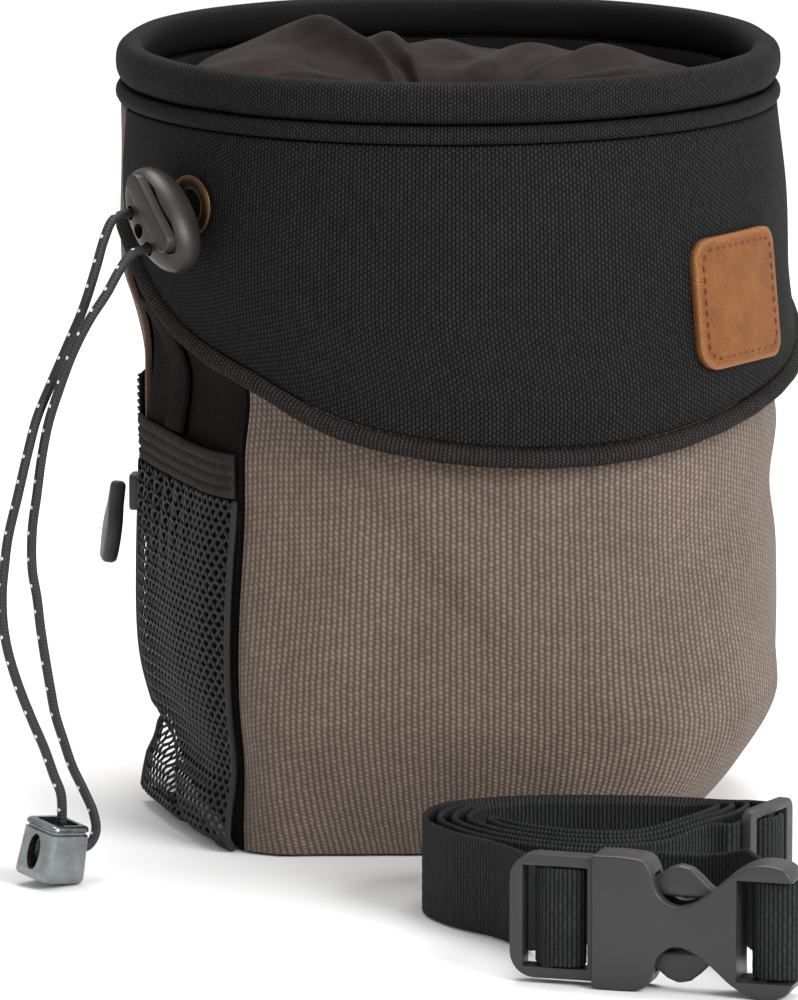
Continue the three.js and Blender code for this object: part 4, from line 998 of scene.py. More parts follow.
def wallPanel(name, columns, rows, startAt, endAt, topAt, tuckIn, unevenness):
    look = unevenCloth
    def placeAt(across, up, out):
        near = mix(startAt(bag["height"]), endAt(bag["height"]), across)
        height = mix(canvasFoot, topAt(near), up ** look["rowPower"])
        angle = mix(startAt(height), endAt(height), across)
        uneven = unevenness * ripple(np.radians(angle) * bag["halfWidth"], height, look["pitch"], look["seed"])
        sides = smoothStep(across, 0, look["sideFade"]) * smoothStep(1 - across, 0, look["sideFade"])
        fade = sides * smoothStep(height, 0, look["footFade"])
        inset = tuckIn * tuckedUnder(height)
        return onBody(angle, height, (out - 1) * bag["canvasWall"] - inset + uneven * fade)
    wide = math.radians(endAt(0) - startAt(0)) * bag["halfWidth"]
    tall = float(np.mean(topAt(np.array([startAt(0), endAt(0)]))))
    return clothSheet(name, wide, tall, columns, rows, bag["canvasWall"], placeAt)


def underHem(angle):
    return hemAt(angle) + collarSize["hemOverlap"]


def constant(value):
    return lambda height: value + 0 * np.asarray(height, float)


frontCanvas = wallPanel("frontCanvas", 150, 110, constant(seams["front"]), constant(seams["collarEnd"]),
                        underHem, 1, 0.22 * mm)
dress(frontCanvas, canvas, ["front_canvas"])
sidePanel = wallPanel("sidePanel", 50, 110, sideBackAt, constant(seams["front"] - seams["gap"]),
                      underHem, 1, 0.2 * mm)
dress(sidePanel, sideCloth, ["side_panel"])


def backEnd(height):
    return 360 + sideBackAt(height) - seams["gap"]


backPanel = wallPanel("backPanel", 150, 110, constant(seams["collarEnd"] + seams["gap"]), backEnd,
                      lambda angle: tapeLow - bag["gap"] + 0 * angle, 0, 0.25 * mm)
dress(backPanel, backCanvas, ["back_panel"])
print("body panels made")


base = {"wall": 1.6 * mm, "rounding": 0.2 * mm, "reach": 60 * mm}


def makeBase():
    wall, rounding, reach = base["wall"], base["rounding"], base["reach"]
    angles = np.linspace(0, 360, 120, endpoint=False)
    edge = bodyRadius(angles, canvasFoot) - bag["canvasWall"] - bag["layerGap"]
    shares = [0.25, 0.5, 0.8, 0.99, 1.0, 1.0, 0.99, 0.8, 0.5, 0.25]
    heights = [0, 0, 0, 0, rounding, wall - rounding, wall, wall, wall, wall]
    places = np.array([pointAt(angles, edge * s, h, bag["footLean"]) for s, h in zip(shares, heights)])
    turn = np.radians(np.append(angles, 360))
    spread = np.array([np.stack([reach * s * np.sin(turn), reach * s * np.cos(turn)], -1) for s in shares])
    dress(latticePiece("basePanel", places, spread, caps=(0, -1)), canvas, ["base_panel"])


makeBase()

# Collar, its piping and the rim
collarCloth = {"aboveTheHem": 0.3 * mm, "crown": 0.5 * mm, "waves": 0.16 * mm, "wavePitch": 30 * mm, "seed": 5}
pipingWaves = {"deep": 0.05 * mm, "pitch": 11 * mm}


def collarPlace(across, up, out):
    look = collarCloth
    angle = mix(seams["collarStart"], seams["collarEnd"], across)
    foot = hemAt(angle) + 2 * collarSize["pipingRadius"] + look["aboveTheHem"]
    height = mix(foot, tapeLow - bag["gap"], up)
    waves = look["waves"] * ripple(np.radians(angle) * 0.07, height, look["wavePitch"], look["seed"])
    puff = (look["crown"] * np.sin(np.pi * np.clip(up, 0, 1)) + waves) * smoothStep(up, 0, 0.12)
    return onCollar(angle, height, (out - 1) * collarSize["wall"] + puff)


collarWide = math.radians(seams["collarEnd"] - seams["collarStart"]) * collarSize["topHalfWidth"]
collar = clothSheet("collar", collarWide, 60 * mm, 190, 60, collarSize["wall"], collarPlace)
dress(collar, ballistic, ["collar"])


def makePiping():
    angles = np.linspace(seams["collarStart"], seams["collarEnd"], 330)
    path = onCollar(angles, hemAt(angles) + collarSize["pipingRadius"], -collarSize["pipingSunk"])
    path = routeOf(path[::3], 0.8 * mm)
    def relief(run, turn):
        return pipingWaves["deep"] * np.sin(2 * np.pi * run / pipingWaves["pitch"]) + 0 * turn
    piping = tubePiece("collarPiping", path, collarSize["pipingRadius"], 22, relief=relief)
    dress(piping, pipingCloth, ["collar_piping"])


makePiping()


def rimRadius(angle):
    return superRadius(collarSize["topHalfWidth"], collarSize["topHalfDepth"], rimPower(angle), angle)


def rimRing(name, profile, sides, uneven=0.0):
    # a ring of that section (out from the rim line, height) all round the mouth
    angles = np.linspace(0, 360, sides, endpoint=False)
    section = np.asarray(profile, float)
    drift = uneven * ripple(np.radians(angles) * 0.07, 0 * angles, 24 * mm, 3)
    places = np.array([pointAt(angles, rimRadius(angles) + out + drift, height, bag["rimLean"])
                       for out, height in section])
    run = runOf(section)
    run = np.append(run, run[-1] + np.linalg.norm(section[0] - section[-1]))
    girth = np.radians(np.append(angles, 360)) * collarSize["topHalfWidth"]
    spread = np.stack(np.broadcast_arrays(girth[None, :], run[:, None]), -1)
    return latticePiece(name, places, spread, along=True)


def makeRim():
    look = collarSize
    turn = turnsOf(36) - np.pi / 2
    middle = look["rollProud"] - look["rollThick"] / 2
    def flatten(value):
        return np.sign(value) * np.abs(value) ** look["rollPower"]
    out = middle + look["rollThick"] / 2 * flatten(np.cos(turn))
    up = tapeTop + look["rollHeight"] / 2 * (1 + flatten(np.sin(turn)))
    out = out + 0.25 * mm * np.cos(turn) * (1 - ((up - tapeTop) / look["rollHeight"] * 2 - 1) ** 2)
    ring = rimRing("rimRoll", np.column_stack([out, up]), 300, 0.12 * mm)
    dress(ring, tapeCloth, ["rim_roll"])
    ring.data.materials.append(liningCloth)
    # the roll's inner half is the lining's own cloth
    inner = np.repeat((turn > np.pi * 0.62), 300)
    ring.data.polygons.foreach_set("material_index", inner.astype(np.int32))
    low, high, out = tapeLow, tapeLow + look["tapeHeight"], 0.4 * mm
    half = [(-look["tapeThick"], 0), (-0.5 * mm, 0), (0, 0.35 * mm), (0.4 * mm, 1.1 * mm)]
    tape = [(out + x, low + z) for x, z in half] + [(out + 0.5 * mm, (low + high) / 2)]
    tape += [(out + x, high - z) for x, z in half[::-1]]
    dress(rimRing("rimTape", tape, 300), tapeCloth, ["rim_tape"])


makeRim()
print("collar and rim made")

# Lining: a hollow bucket with soft creases
lining = {"wall": 1.2 * mm, "foot": 1.9 * mm, "creases": 0.5 * mm, "creasePitch": 9 * mm, "seed": 21,
          "seamAngle": 207, "seamFoot": 130 * mm, "seamRadius": 0.6 * mm}


def liningRadius(angle, height):
    tuck = bag["underCollar"] * smoothStep(height, 0.45 * bag["height"], leanLow)
    return bodyRadius(angle, height) - bag["canvasWall"] - bag["layerGap"] - tuck


def makeLining():
    angles = np.linspace(0, 360, 200, endpoint=False)
    top = tapeTop - bag["gap"]
    foot = lining["foot"]
    rows = []
    for share in (0.2, 0.5, 0.8):
        rows.append((share, foot, 0))
    heights = foot + (top - foot) * np.linspace(0, 1, 50) ** 1.2
    rows += [(1, h, 0) for h in heights]
    rows += [(1, h, 1) for h in heights[::-1] if h > foot + lining["wall"] * 1.2]
    rows += [(share, foot + lining["wall"], 1) for share in (0.97, 0.8, 0.5, 0.2)]
    fold = ripple(np.radians(angles) * 0.066, 0 * angles, lining["creasePitch"], lining["seed"]) * 0.5 + 0.5
    places, spread = [], []
    for share, height, inner in rows:
        radius = liningRadius(angles, height)
        high = smoothStep(height, 0.6 * bag["height"], top) * inner
        radius = radius - inner * (lining["wall"] + lining["creases"] * 0.8 * np.clip(fold, 0, 1) * high)
        places.append(pointAt(angles, radius * share, height, bodyCentre(height)))
        run = height if share == 1 else share * 60 * mm
        spread.append(np.stack([np.radians(np.append(angles, 360)) * 0.066, np.full(len(angles) + 1, run)], -1))
    bucket = latticePiece("lining", np.array(places), np.array(spread), caps=(0, -1))
    dress(bucket, liningCloth, ["lining"])
    heights = np.linspace(lining["seamFoot"], top + 0.6 * collarSize["rollHeight"], 50)
    wallRadius = liningRadius(lining["seamAngle"], heights) - lining["wall"] - 0.5 * mm
    rollRadius = rimRadius(lining["seamAngle"]) + collarSize["rollProud"] - collarSize["rollThick"] - 0.1 * mm
    radius = mix(wallRadius, rollRadius, smoothStep(heights, top - 1 * mm, top + 1 * mm))
    path = pointAt(lining["seamAngle"], radius, heights, bodyCentre(heights))
    dress(tubePiece("liningSeam", path, lining["seamRadius"], 10, (1, 0, 0)), blackThread)


makeLining()

# Inner sleeve: gathered brown fleece that closes the mouth round a narrow neck
sleeve = {
    "wall": 1.2 * mm,
    "clear": 1.5 * mm,        # to the lining
    "neck": 12 * mm,
    "seat": 150 * mm,
    "rise": 11 * mm,
    "folds": 9,               # round the mouth, with finer ones between them
    "foldHigh": 4.2 * mm,
    "foldDeep": 1.6 * mm,
    "fineFolds": 19,
    "fineHigh": 1 * mm,
    "waves": 0.35 * mm,
    "flatWide": 0.39,
    "flatTall": 0.046,
}
sleeveFolds = [
    {"angle": 0, "rise": 0.5}, {"angle": 40, "rise": 0.62}, {"angle": 75, "rise": 0.66},
    {"angle": 110, "rise": 0.78}, {"angle": 138, "rise": 0.8}, {"angle": 160, "rise": 0.62},
    {"angle": 180, "rise": 0.98}, {"angle": 196, "rise": 0.72}, {"angle": 217, "rise": 1.35},
    {"angle": 240, "rise": 1.05}, {"angle": 262, "rise": 0.9}, {"angle": 290, "rise": 0.7},
    {"angle": 325, "rise": 0.6}, {"angle": 360, "rise": 0.5},
]
sleeveSection = [
    {"inward": 0, "rise": 0.0}, {"inward": 0.1, "rise": 0.6}, {"inward": 0.28, "rise": 0.9},
    {"inward": 0.5, "rise": 1.0}, {"inward": 0.8, "rise": 0.65}, {"inward": 0.96, "rise": -0.1},
    {"inward": 1, "rise": -1.1},
]


def makeSleeve():
    look = sleeve
    angles = np.linspace(0, 360, 420, endpoint=False)
    outer = liningRadius(angles, look["seat"]) - lining["wall"] - look["clear"]
    lump = softTable(sleeveFolds, "angle", "rise", angles, 5)
    def fold(count, shift, inward, sharp):
        # ridges that wander round the mouth, narrow at their tops and broad between
        warp = angles + 11 * np.sin(np.radians(2 * angles + 70)) + 6 * np.sin(np.radians(5 * angles + 20))
        warp = warp + 16 * inward * np.sin(np.radians(3 * angles + 110))
        return (0.5 + 0.5 * np.cos(np.radians(count * warp + shift))) ** sharp
    def surface(inward):
        rise = softTable(sleeveSection, "inward", "rise", inward, 0.05)
        big = look["foldHigh"] * (fold(look["folds"], 0, inward, 2.2) - 0.35)
        small = look["fineHigh"] * (fold(look["fineFolds"], 60, inward, 1.6) - 0.4)
        high = big * smoothStep(inward, 0.06, 0.5) + small * smoothStep(inward, 0.2, 0.8)
        skew = look["waves"] * ripple(np.radians(angles) * 0.05, inward * 0.05, 16 * mm, 33)
        height = look["seat"] + rise * look["rise"] * lump + (high + skew) * smoothStep(inward, 0.02, 0.2)
        radius = mix(outer, look["neck"], inward)
        gathered = look["foldDeep"] * (fold(look["folds"], 0, inward, 1.6) - 0.3)
        return radius + smoothStep(inward, 0.6, 0.95) * gathered, height
    places, spread = [], []
    steps = np.linspace(0, 1, 60) ** 0.9
    around = np.radians(np.append(angles, 360)) * 0.06
    # the underside from the neck out, then the top from the seat in
    for inward, wall in [(step, look["wall"]) for step in steps[::-1]] + [(step, 0) for step in steps]:
        radius, height = surface(inward)
        deep = smoothStep(inward, 0.86, 1)
        places.append(pointAt(angles, radius + wall * deep, height - wall * (1 - deep),
                              bodyCentre(look["seat"])))
        run = inward * 0.06 if wall else 0.13 - inward * 0.06
        spread.append(np.stack([around, np.full(len(around), run)], -1))
    spread.append(spread[0])
    cloth = latticePiece("innerSleeve", np.array(places), np.array(spread), along=True)
    dress(cloth, fleece, ["inner_sleeve"])


makeSleeve()
print("lining and sleeve made")

# Leather patch with its stitched edge; its face is bare
patch = {
    "angle": 55.5,
    "height": 116.6 * mm,
    "wide": 29 * mm,
    "tall": 27.5 * mm,
    "corner": 4.5 * mm,
    "wall": 1.6 * mm,
    "clear": 0.35 * mm,       # to the collar
    "edgeRise": 0.5 * mm,
    "stitchInset": 2.3 * mm,
    "stitchPitch": 2.35 * mm,
    "stitchLong": 1.6 * mm,
    "stitchThick": 0.62 * mm,
}
underShares = [1.0, 0.98, 0.6, 0.1]      # the underside's rings, as shares of the outline


def makePatch():
    look = patch
    outline = np.array(roundedOutline(look["wide"], look["tall"], look["corner"], 14))
    shares = np.concatenate([np.linspace(0.04, 0.9, 20), [0.93, 0.96, 0.98, 0.992, 1.0, 1.0]])
    def layer(share, out):
        flat = outline * share
        angle = look["angle"] + np.degrees(flat[:, 0] / collarSize["lowHalfWidth"])
        return onCollar(angle, look["height"] + flat[:, 1], out)
    soft = np.interp(shares, [0, 0.8, 0.86, 0.93, 0.97, 1.0], [0, 0, -0.12, 0, -0.06, -0.35]) * mm
    soft[-1] = -1.0 * mm
    face = look["clear"] + look["wall"]
    top = [layer(s, face + look["edgeRise"] + d) for s, d in zip(shares, soft)]
    under = [layer(s, look["clear"]) for s in underShares]
    places = np.array(top + under)
    spread = np.array([np.concatenate([outline, outline[:1]]) * s for s in list(shares) + underShares])
    piece = latticePiece("leatherPatch", places, spread, caps=(0, -1), flip=True)
    worn = piece.data.attributes.new("burnish", "FLOAT", "POINT")
    amount = np.zeros(len(piece.data.vertices))
    ringOf = np.repeat(np.arange(len(places)), len(outline))
    share = np.concatenate([shares, [1.0, 1.0, 1.0, 1.0]])[ringOf]
    amount[:len(share)] = smoothStep(share, 0.9, 0.985)
    worn.data.foreach_set("value", amount.astype(np.float32))
    dress(piece, leather, ["leather_patch"])
    inset = look["stitchInset"]
    inner = np.array(roundedOutline(look["wide"] - 2 * inset, look["tall"] - 2 * inset, look["corner"] - 1.6 * mm, 14))
    inner = np.concatenate([inner, inner[:1]])
    angle = look["angle"] + np.degrees(inner[:, 0] / collarSize["lowHalfWidth"])
    path = onCollar(angle, look["height"] + inner[:, 1], face + 0.42 * mm)
    outward = pointAt(angle, 1.0, 0 * angle, 0.0)
    stitches = addStitches("patchStitches", path, outward, look["stitchPitch"], look["stitchLong"],
                           look["stitchThick"], 0.05 * mm)
    dress(stitches, tanThread)


makePatch()
print("patch made")

# Left side: upright tape, ribbed elastic and the net pocket
sideTape = {"start": -76, "end": -67, "wall": 1.1 * mm, "wide": 10 * mm, "tall": 30 * mm, "clear": 0.6 * mm,
            "crown": 0.35 * mm}
elastic = {"top": 84.5 * mm, "tall": 9.4 * mm, "wall": 1.3 * mm, "ribs": 4, "waves": 0.12 * mm}
net = {
    "wide": 55 * mm,          # along the foot, about
    "bulge": 3.6 * mm,
    "bandWide": 0.46 * mm,    # half of the band's width and thickness
    "bandThick": 0.2 * mm,
    "cellWide": 2.5 * mm,
    "cellTall": 3.1 * mm,
    "waist": 0.26 * mm,       # how far the bands sway to round the holes
    "step": 0.62 * mm,
    "foot": 0.6 * mm,
    "edgeRadius": 0.7 * mm,
    "pinch": 1.5 * mm,
    "pinchWide": 1.3 * mm,
    "gathers": 8,
    "gatherDeep": 0.45 * mm,
}
pocketSection = [
    {"height": 0, "out": 0}, {"height": 0.012, "out": 0.8}, {"height": 0.05, "out": 1.2},
    {"height": 0.12, "out": 1.1}, {"height": 0.22, "out": 0.6}, {"height": 0.34, "out": 0.8},
    {"height": 0.6, "out": 1}, {"height": 0.84, "out": 0.85}, {"height": 1, "out": 0.3},
]
pocketFullness = [
    {"across": 0, "out": 0.1}, {"across": 0.1, "out": 0.3}, {"across": 0.3, "out": 0.5},
    {"across": 0.6, "out": 0.95}, {"across": 0.86, "out": 1}, {"across": 1, "out": 0.25},
]
elasticFoot = elastic["top"] - elastic["tall"]


def makeSideTape():
    def placeAt(across, up, out):
        angle = mix(sideTape["start"], sideTape["end"], across)
        top = hemAt(sideTape["end"]) - 2 * collarSize["pipingRadius"] - 1 * mm
        height = mix(elastic["top"] + bag["gap"], top, up)
        crown = sideTape["crown"] * np.sin(np.pi * np.clip(across, 0, 1))
        return onBody(angle, height, sideTape["clear"] + out * sideTape["wall"] + crown - tuckedUnder(height))
    tape = clothSheet("sideTape", sideTape["wide"], sideTape["tall"], 14, 30, sideTape["wall"], placeAt)
    dress(tape, sideCloth, ["side_tape"])


def pocketAngle(across):
    return mix(seams["pocketBack"], seams["front"] - 1, across)


def pocketReach(across, share):
    return net["bulge"] * softTable(pocketFullness, "across", "out", across, 0.04) * share


def makeElastic():
    def placeAt(across, up, out):
        angle = pocketAngle(across)
        rib = np.abs(np.sin(np.pi * np.clip(up, 0, 1) * elastic["ribs"])) ** 0.6
        waves = elastic["waves"] * ripple(across * 0.05, up * 0.004, 5 * mm, 9)
        reach = pocketReach(across, 0.5) + bag["gap"]
        return onBody(angle, mix(elasticFoot, elastic["top"], up),
                      reach + out * elastic["wall"] * (0.5 + 0.5 * rib) + waves * out)
    band = clothSheet("elasticBand", net["wide"], elastic["tall"], 80, 56, 0.9 * mm, placeAt)
    dress(band, elasticCloth, ["elastic_band"])


def pocketPlace(across, up, out):
    height = mix(net["foot"], elasticFoot - bag["gap"], up)
    angle = pocketAngle(across)
    share = softTable(pocketSection, "height", "out", up, 0.015)
    reach = tuckAt(angle, height) * np.minimum(1, share) + pocketReach(across, share)
    # a pinched fold from the back edge down to the foot, and small gathers under the elastic
    fromFold = 0.414 * (np.radians(angle + 56) * bag["halfWidth"]) + 0.91 * height
    pinch = net["pinch"] * np.exp(-(fromFold / net["pinchWide"]) ** 2) * smoothStep(up, 0, 0.03)
    gather = net["gatherDeep"] * np.sin(2 * np.pi * net["gathers"] * across) * smoothStep(up, 0.6, 1)
    gather = gather * smoothStep(1 - across, 0.1, 0.6)
    return onBody(angle, height, bag["layerGap"] + np.maximum(reach - pinch, 0) + gather + out)


def makeNet():
    # two sets of crossing bands with oval holes between them; each pair swaps sides where it crosses
    wide, tall = net["wide"], elasticFoot - net["foot"]
    slope = net["cellTall"] / net["cellWide"]
    points, quads = [], []
    sides = 6
    turn = turnsOf(sides)
    count = int((wide + tall / slope) / net["cellWide"]) + 2
    made = 0
    for way in (1, -1):
        for k in range(count):
            run = np.arange(0, tall, net["step"])
            start = k * net["cellWide"] - (tall / slope if way == 1 else 0)
            spotX = start + way * run / slope
            phase = 2 * np.pi * run / net["cellTall"]
            keep = (spotX > 0) & (spotX < wide)
            if keep.sum() < 4:
                continue
            across = np.clip((spotX - way * net["waist"] * np.sin(2 * phase))[keep] / wide, 0, 1)
            lift = net["bandThick"] * (1.2 + 0.7 * way * np.cos(phase[keep]))
            path = pocketPlace(across, run[keep] / tall, lift)
            outward = pointAt(pocketAngle(across), 1.0, 0 * across, 0.0)
            side = unit(np.cross(headingOf(path), outward))
            above = np.cross(side, headingOf(path))
            ring = path[:, None] + (net["bandWide"] * np.cos(turn)[None, :, None] * side[:, None]
                                    + net["bandThick"] * np.sin(turn)[None, :, None] * above[:, None])
            index = made + np.arange(len(path) * sides).reshape(len(path), sides)
            index = closeRing(index)
            points.append(ring.reshape(-1, 3))
            quads.append(quadsOf(index))
            made += len(path) * sides
    quads = np.concatenate(quads)
    pocket = makePiece("meshPocket", np.concatenate(points), quads, np.zeros((len(quads), 4, 2)))
    dress(pocket, netThread, ["mesh_pocket"])
    print("net faces", len(quads))
    for name, across, up in (("netFoot", np.linspace(0, 1, 70), np.zeros(70)),
                             ("netFront", np.ones(60), np.linspace(0, 1, 60)),
                             ("netBack", np.zeros(60), np.linspace(0, 1, 60))):
        path = routeOf(pocketPlace(across, up, net["bandThick"]), 1 * mm)
        dress(tubePiece(name, path, net["edgeRadius"], 10, (1, 0.3, 0.1)), netThread)


makeSideTape()
makeElastic()
makeNet()
print("side pocket made")

# Zip at the back edge of the side
zipper = {
    "angle": -99,
    "top": 92 * mm,
    "bottom": 56 * mm,
    "wide": 7 * mm,
    "wall": 1.2 * mm,
    "clear": 0.6 * mm,
    "tooth": 1.5 * mm,        # the teeth's pitch, length, thickness and the offset of the two rows
    "toothLong": 1 * mm,
    "toothThick": 1.5 * mm,
    "toothAside": 0.45 * mm,
    "sliderWide": 5 * mm,
    "sliderTall": 8 * mm,
    "sliderDeep": 2.2 * mm,
    "sliderAt": 10 * mm,
    "pullDeep": 3.4 * mm,
    "pullLean": 8,
    "pullTwist": 20,
}
# right half of the pull's outline from the top down, in mm
pullOutline = [(1.3, 0), (1.65, -2.5), (2, -5), (2.9, -6.6), (3.55, -8.3), (3.9, -10.2), (3.9, -12.2),
               (3.5, -14.4), (2.95, -16.2), (2.2, -17.5), (1.2, -17.9)]


def makeZip():
    look = zipper
    def placeAt(across, up, out):
        angle = look["angle"] + np.degrees((across - 0.5) * look["wide"] / bag["halfWidth"])
        return onBody(angle, mix(look["bottom"], look["top"], up), look["clear"] + out * look["wall"] * 0.8)
    tape = clothSheet("zipTape", look["wide"], look["top"] - look["bottom"], 12, 40, look["wall"], placeAt)
    dress(tape, sideCloth, ["zip_tape"])
    heights = np.linspace(look["bottom"] + 1 * mm, look["top"] - 1 * mm, 60)
    path = onBody(look["angle"], heights, look["clear"] + look["wall"] * 0.8)
    outward = pointAt(np.full(60, float(look["angle"])), 1.0, np.zeros(60), 0.0)
    side = np.cross(outward, (0, 0, 1))
    for name, aside in (("zipTeethLeft", -look["toothAside"]), ("zipTeethRight", look["toothAside"])):
        teeth = addStitches(name, path + side * aside + (0, 0, aside), outward, look["tooth"], look["toothLong"],
                            look["toothThick"], 0.1 * mm)
        dress(teeth, blackPlastic)
    turn = turnAbout(look["angle"], "Z")
    seat = Vector(onBody(look["angle"], look["bottom"] + look["sliderAt"], look["wall"] + 0.9 * mm))
    runner = platePiece("zipSlider", roundedOutline(look["sliderWide"], look["sliderTall"], 1.2 * mm), look["sliderDeep"])
    shift(runner, (0, -look["sliderDeep"] / 2, 0))
    roundEdges(runner, 0.5 * mm)
    place(runner, seat, turn)
    dress(smoothEdges(runner), blackPlastic, ["zip_slider"])
    outline = [(x * mm, z * mm) for x, z in pullOutline] + [(0, -18 * mm)]
    outline += [(-x * mm, z * mm) for x, z in pullOutline[::-1]]
    pull = platePiece("zipPull", outline, look["pullDeep"])
    shift(pull, (0, -look["pullDeep"] / 2, 0))
    pull.data.transform(turnAbout(-look["pullLean"], "X", 4) @ turnAbout(look["pullTwist"], "Z", 4))
    shift(pull, (0, -3.1 * mm, 2 * mm))
    roundEdges(pull, 1.2 * mm, 4, 50)
    place(pull, seat, turn)
    dress(smoothEdges(pull, 50), blackPlastic, ["zip_pull"])


makeZip()

# Belt loop on the back
beltLoop = {"wide": 26 * mm, "tall": 42 * mm, "wall": 1.6 * mm, "clear": 5.4 * mm, "middle": 73 * mm,
            "seat": 65.65 * mm, "stitchInset": 1.8 * mm, "stitchPitch": 2.4 * mm, "stitchLong": 1.7 * mm}


def makeLoop():
    look = beltLoop
    half, out = look["tall"] / 2, look["clear"] + look["wall"] / 2
    # from the lower end to the middle: away from the back panel, and up
    lower = [(0.8 * mm, -half), (0.9 * mm, -half + 3 * mm), (3.4 * mm, -half + 4.8 * mm), (out, -half + 8.2 * mm)]
    path = routeOf(lower + [(out, 0)] + [(x, -z) for x, z in lower[::-1]], 0.7 * mm)
    ahead = headingOf(path)
    normal = np.stack([ahead[:, 1], -ahead[:, 0]], 1)
    run = runOf(path)
    def placeAt(across, up, side):
        k = up * run[-1]
        spot = readAlong(k, run, path) + readAlong(k, run, normal) * ((side - 0.5) * look["wall"])[..., None]
        x = (0.5 - across) * look["wide"]
        return np.stack([x, look["seat"] + spot[..., 0], look["middle"] + spot[..., 1]], -1)
    strap = clothSheet("beltLoop", look["wide"], run[-1], 40, 90, look["wall"], placeAt)
    dress(strap, webbing, ["belt_loop"])
    for name, at in (("loopStitchLow", look["stitchInset"]), ("loopStitchTop", look["tall"] - look["stitchInset"])):
        x = np.linspace(-look["wide"] / 2 + 2 * mm, look["wide"] / 2 - 2 * mm, 20)
        line = np.stack([x, np.full(20, look["seat"] + 1.75 * mm), np.full(20, look["middle"] - half + at)], 1)
        outward = np.tile((0.0, 1.0, 0.0), (20, 1))
        row = addStitches(name, line, outward, look["stitchPitch"], look["stitchLong"], 0.5 * mm)
        dress(row, blackThread)


makeLoop()
print("zip and belt loop made")

# Eyelet, cord lock and its button
lock = {
    "long": 25 * mm,
    "wide": 14.5 * mm,
    "deep": 9.6 * mm,
    "turn": -52,
    "lean": 42,
    "standOff": 1.8 * mm,
    "holePitch": 4.6 * mm,
    "holeAside": -3.3 * mm,
    "holeRadius": 1.5 * mm,
    "buttonLong": 19 * mm,
    "buttonWide": 4.4 * mm,
    "buttonAside": 3.3 * mm,
    "buttonProud": 1.4 * mm,
    "buttonSunk": 1.6 * mm,
    "grooveWide": 0.7 * mm,
}
eyelet = {"angle": -49, "height": 137 * mm, "outer": 6.4 * mm, "inner": 3.4 * mm, "proud": 1.3 * mm}


def outwardAt(angle):
    return Vector((math.sin(math.radians(angle)), -math.cos(math.radians(angle)), 0))


def facing(out, up):
    side = up.cross(out).normalized()
    along = out.cross(side)
    return Matrix((side, along, out)).transposed()


def makeEyelet():
    look = eyelet
    out = outwardAt(look["angle"])
    spot = Vector(onCollar(look["angle"], look["height"], bag["gap"])) + out * 0.5 * mm
    middle, half = (look["outer"] + look["inner"]) / 2, (look["outer"] - look["inner"]) / 2
    turn = turnsOf(48)
    bow = turnsOf(16)
    places = np.array([pointAt(np.degrees(turn), middle + half * np.cos(b), look["proud"] / 2 * (1 + np.sin(b)), 0)
                       for b in bow])
    ring = latticePiece("eyelet", places, np.zeros((17, 49, 2)), along=True)
    place(ring, spot, facing(out, Vector((0, 0, 1))))
    dress(ring, eyeletMetal, ["eyelet"])


def makeLock():
    look = lock
    out = outwardAt(look["turn"])
    aside = Vector((math.cos(math.radians(look["turn"])), math.sin(math.radians(look["turn"])), 0))
    lean = math.radians(look["lean"])
    up = Vector((0, 0, 1)) * math.cos(lean) - aside * math.sin(lean)
    basis = facing(out, up)
    spot = Vector(lockSeat) * mm + out * (look["standOff"] - look["deep"] / 2)
    turn = turnsOf(72)
    bow = np.linspace(-np.pi / 2, np.pi / 2, 17)
    rows = []
    for b in bow:
        grow = np.cos(b) ** 0.42 if abs(b) < np.pi / 2 - 1e-6 else 0.35
        height = look["deep"] / 2 * (1 + np.sin(b) * 0.98)
        rows.append(np.stack([look["wide"] / 2 * grow * np.cos(turn), look["long"] / 2 * grow * np.sin(turn),
                              np.full(72, height)], -1))
    body = latticePiece("cordLock", np.array(rows), np.zeros((17, 73, 2)), caps=(0, -1))
    groove = platePiece("groove", roundedOutline(look["buttonWide"] + look["grooveWide"],
                                                 look["buttonLong"] + look["grooveWide"], look["buttonWide"] / 2),
                        2 * look["buttonSunk"])
    shift(groove, (look["buttonAside"], 0, look["deep"]), -90)
    holes = []
    for step in (-1, 0, 1):
        ring = [(look["holeRadius"] * 1.15 * math.cos(t), look["holeRadius"] * math.sin(t)) for t in turnsOf(24)]
        hole = platePiece("hole", ring, 3 * look["deep"])
        holes.append(shift(hole, (look["holeAside"], step * look["holePitch"], 0), -90))
    cutAway(body, [groove] + holes)
    place(body, spot, basis)
    dress(smoothEdges(body, 38), lockPlastic, ["cord_lock"])
    tall = look["buttonSunk"] + look["buttonProud"] - bag["gap"]
    outline = roundedOutline(look["buttonWide"], look["buttonLong"], look["buttonWide"] / 2.02, 10)
    foot = look["deep"] - look["buttonSunk"] + bag["gap"]
    button = shift(platePiece("lockButton", outline, tall), (look["buttonAside"], 0, foot + tall / 2), -90)
    roundEdges(button, 1.0 * mm, 4, 50)
    place(button, spot, basis)
    dress(smoothEdges(button, 50), lockPlastic, ["lock_button"])


makeEyelet()
makeLock()
print("cord lock made")

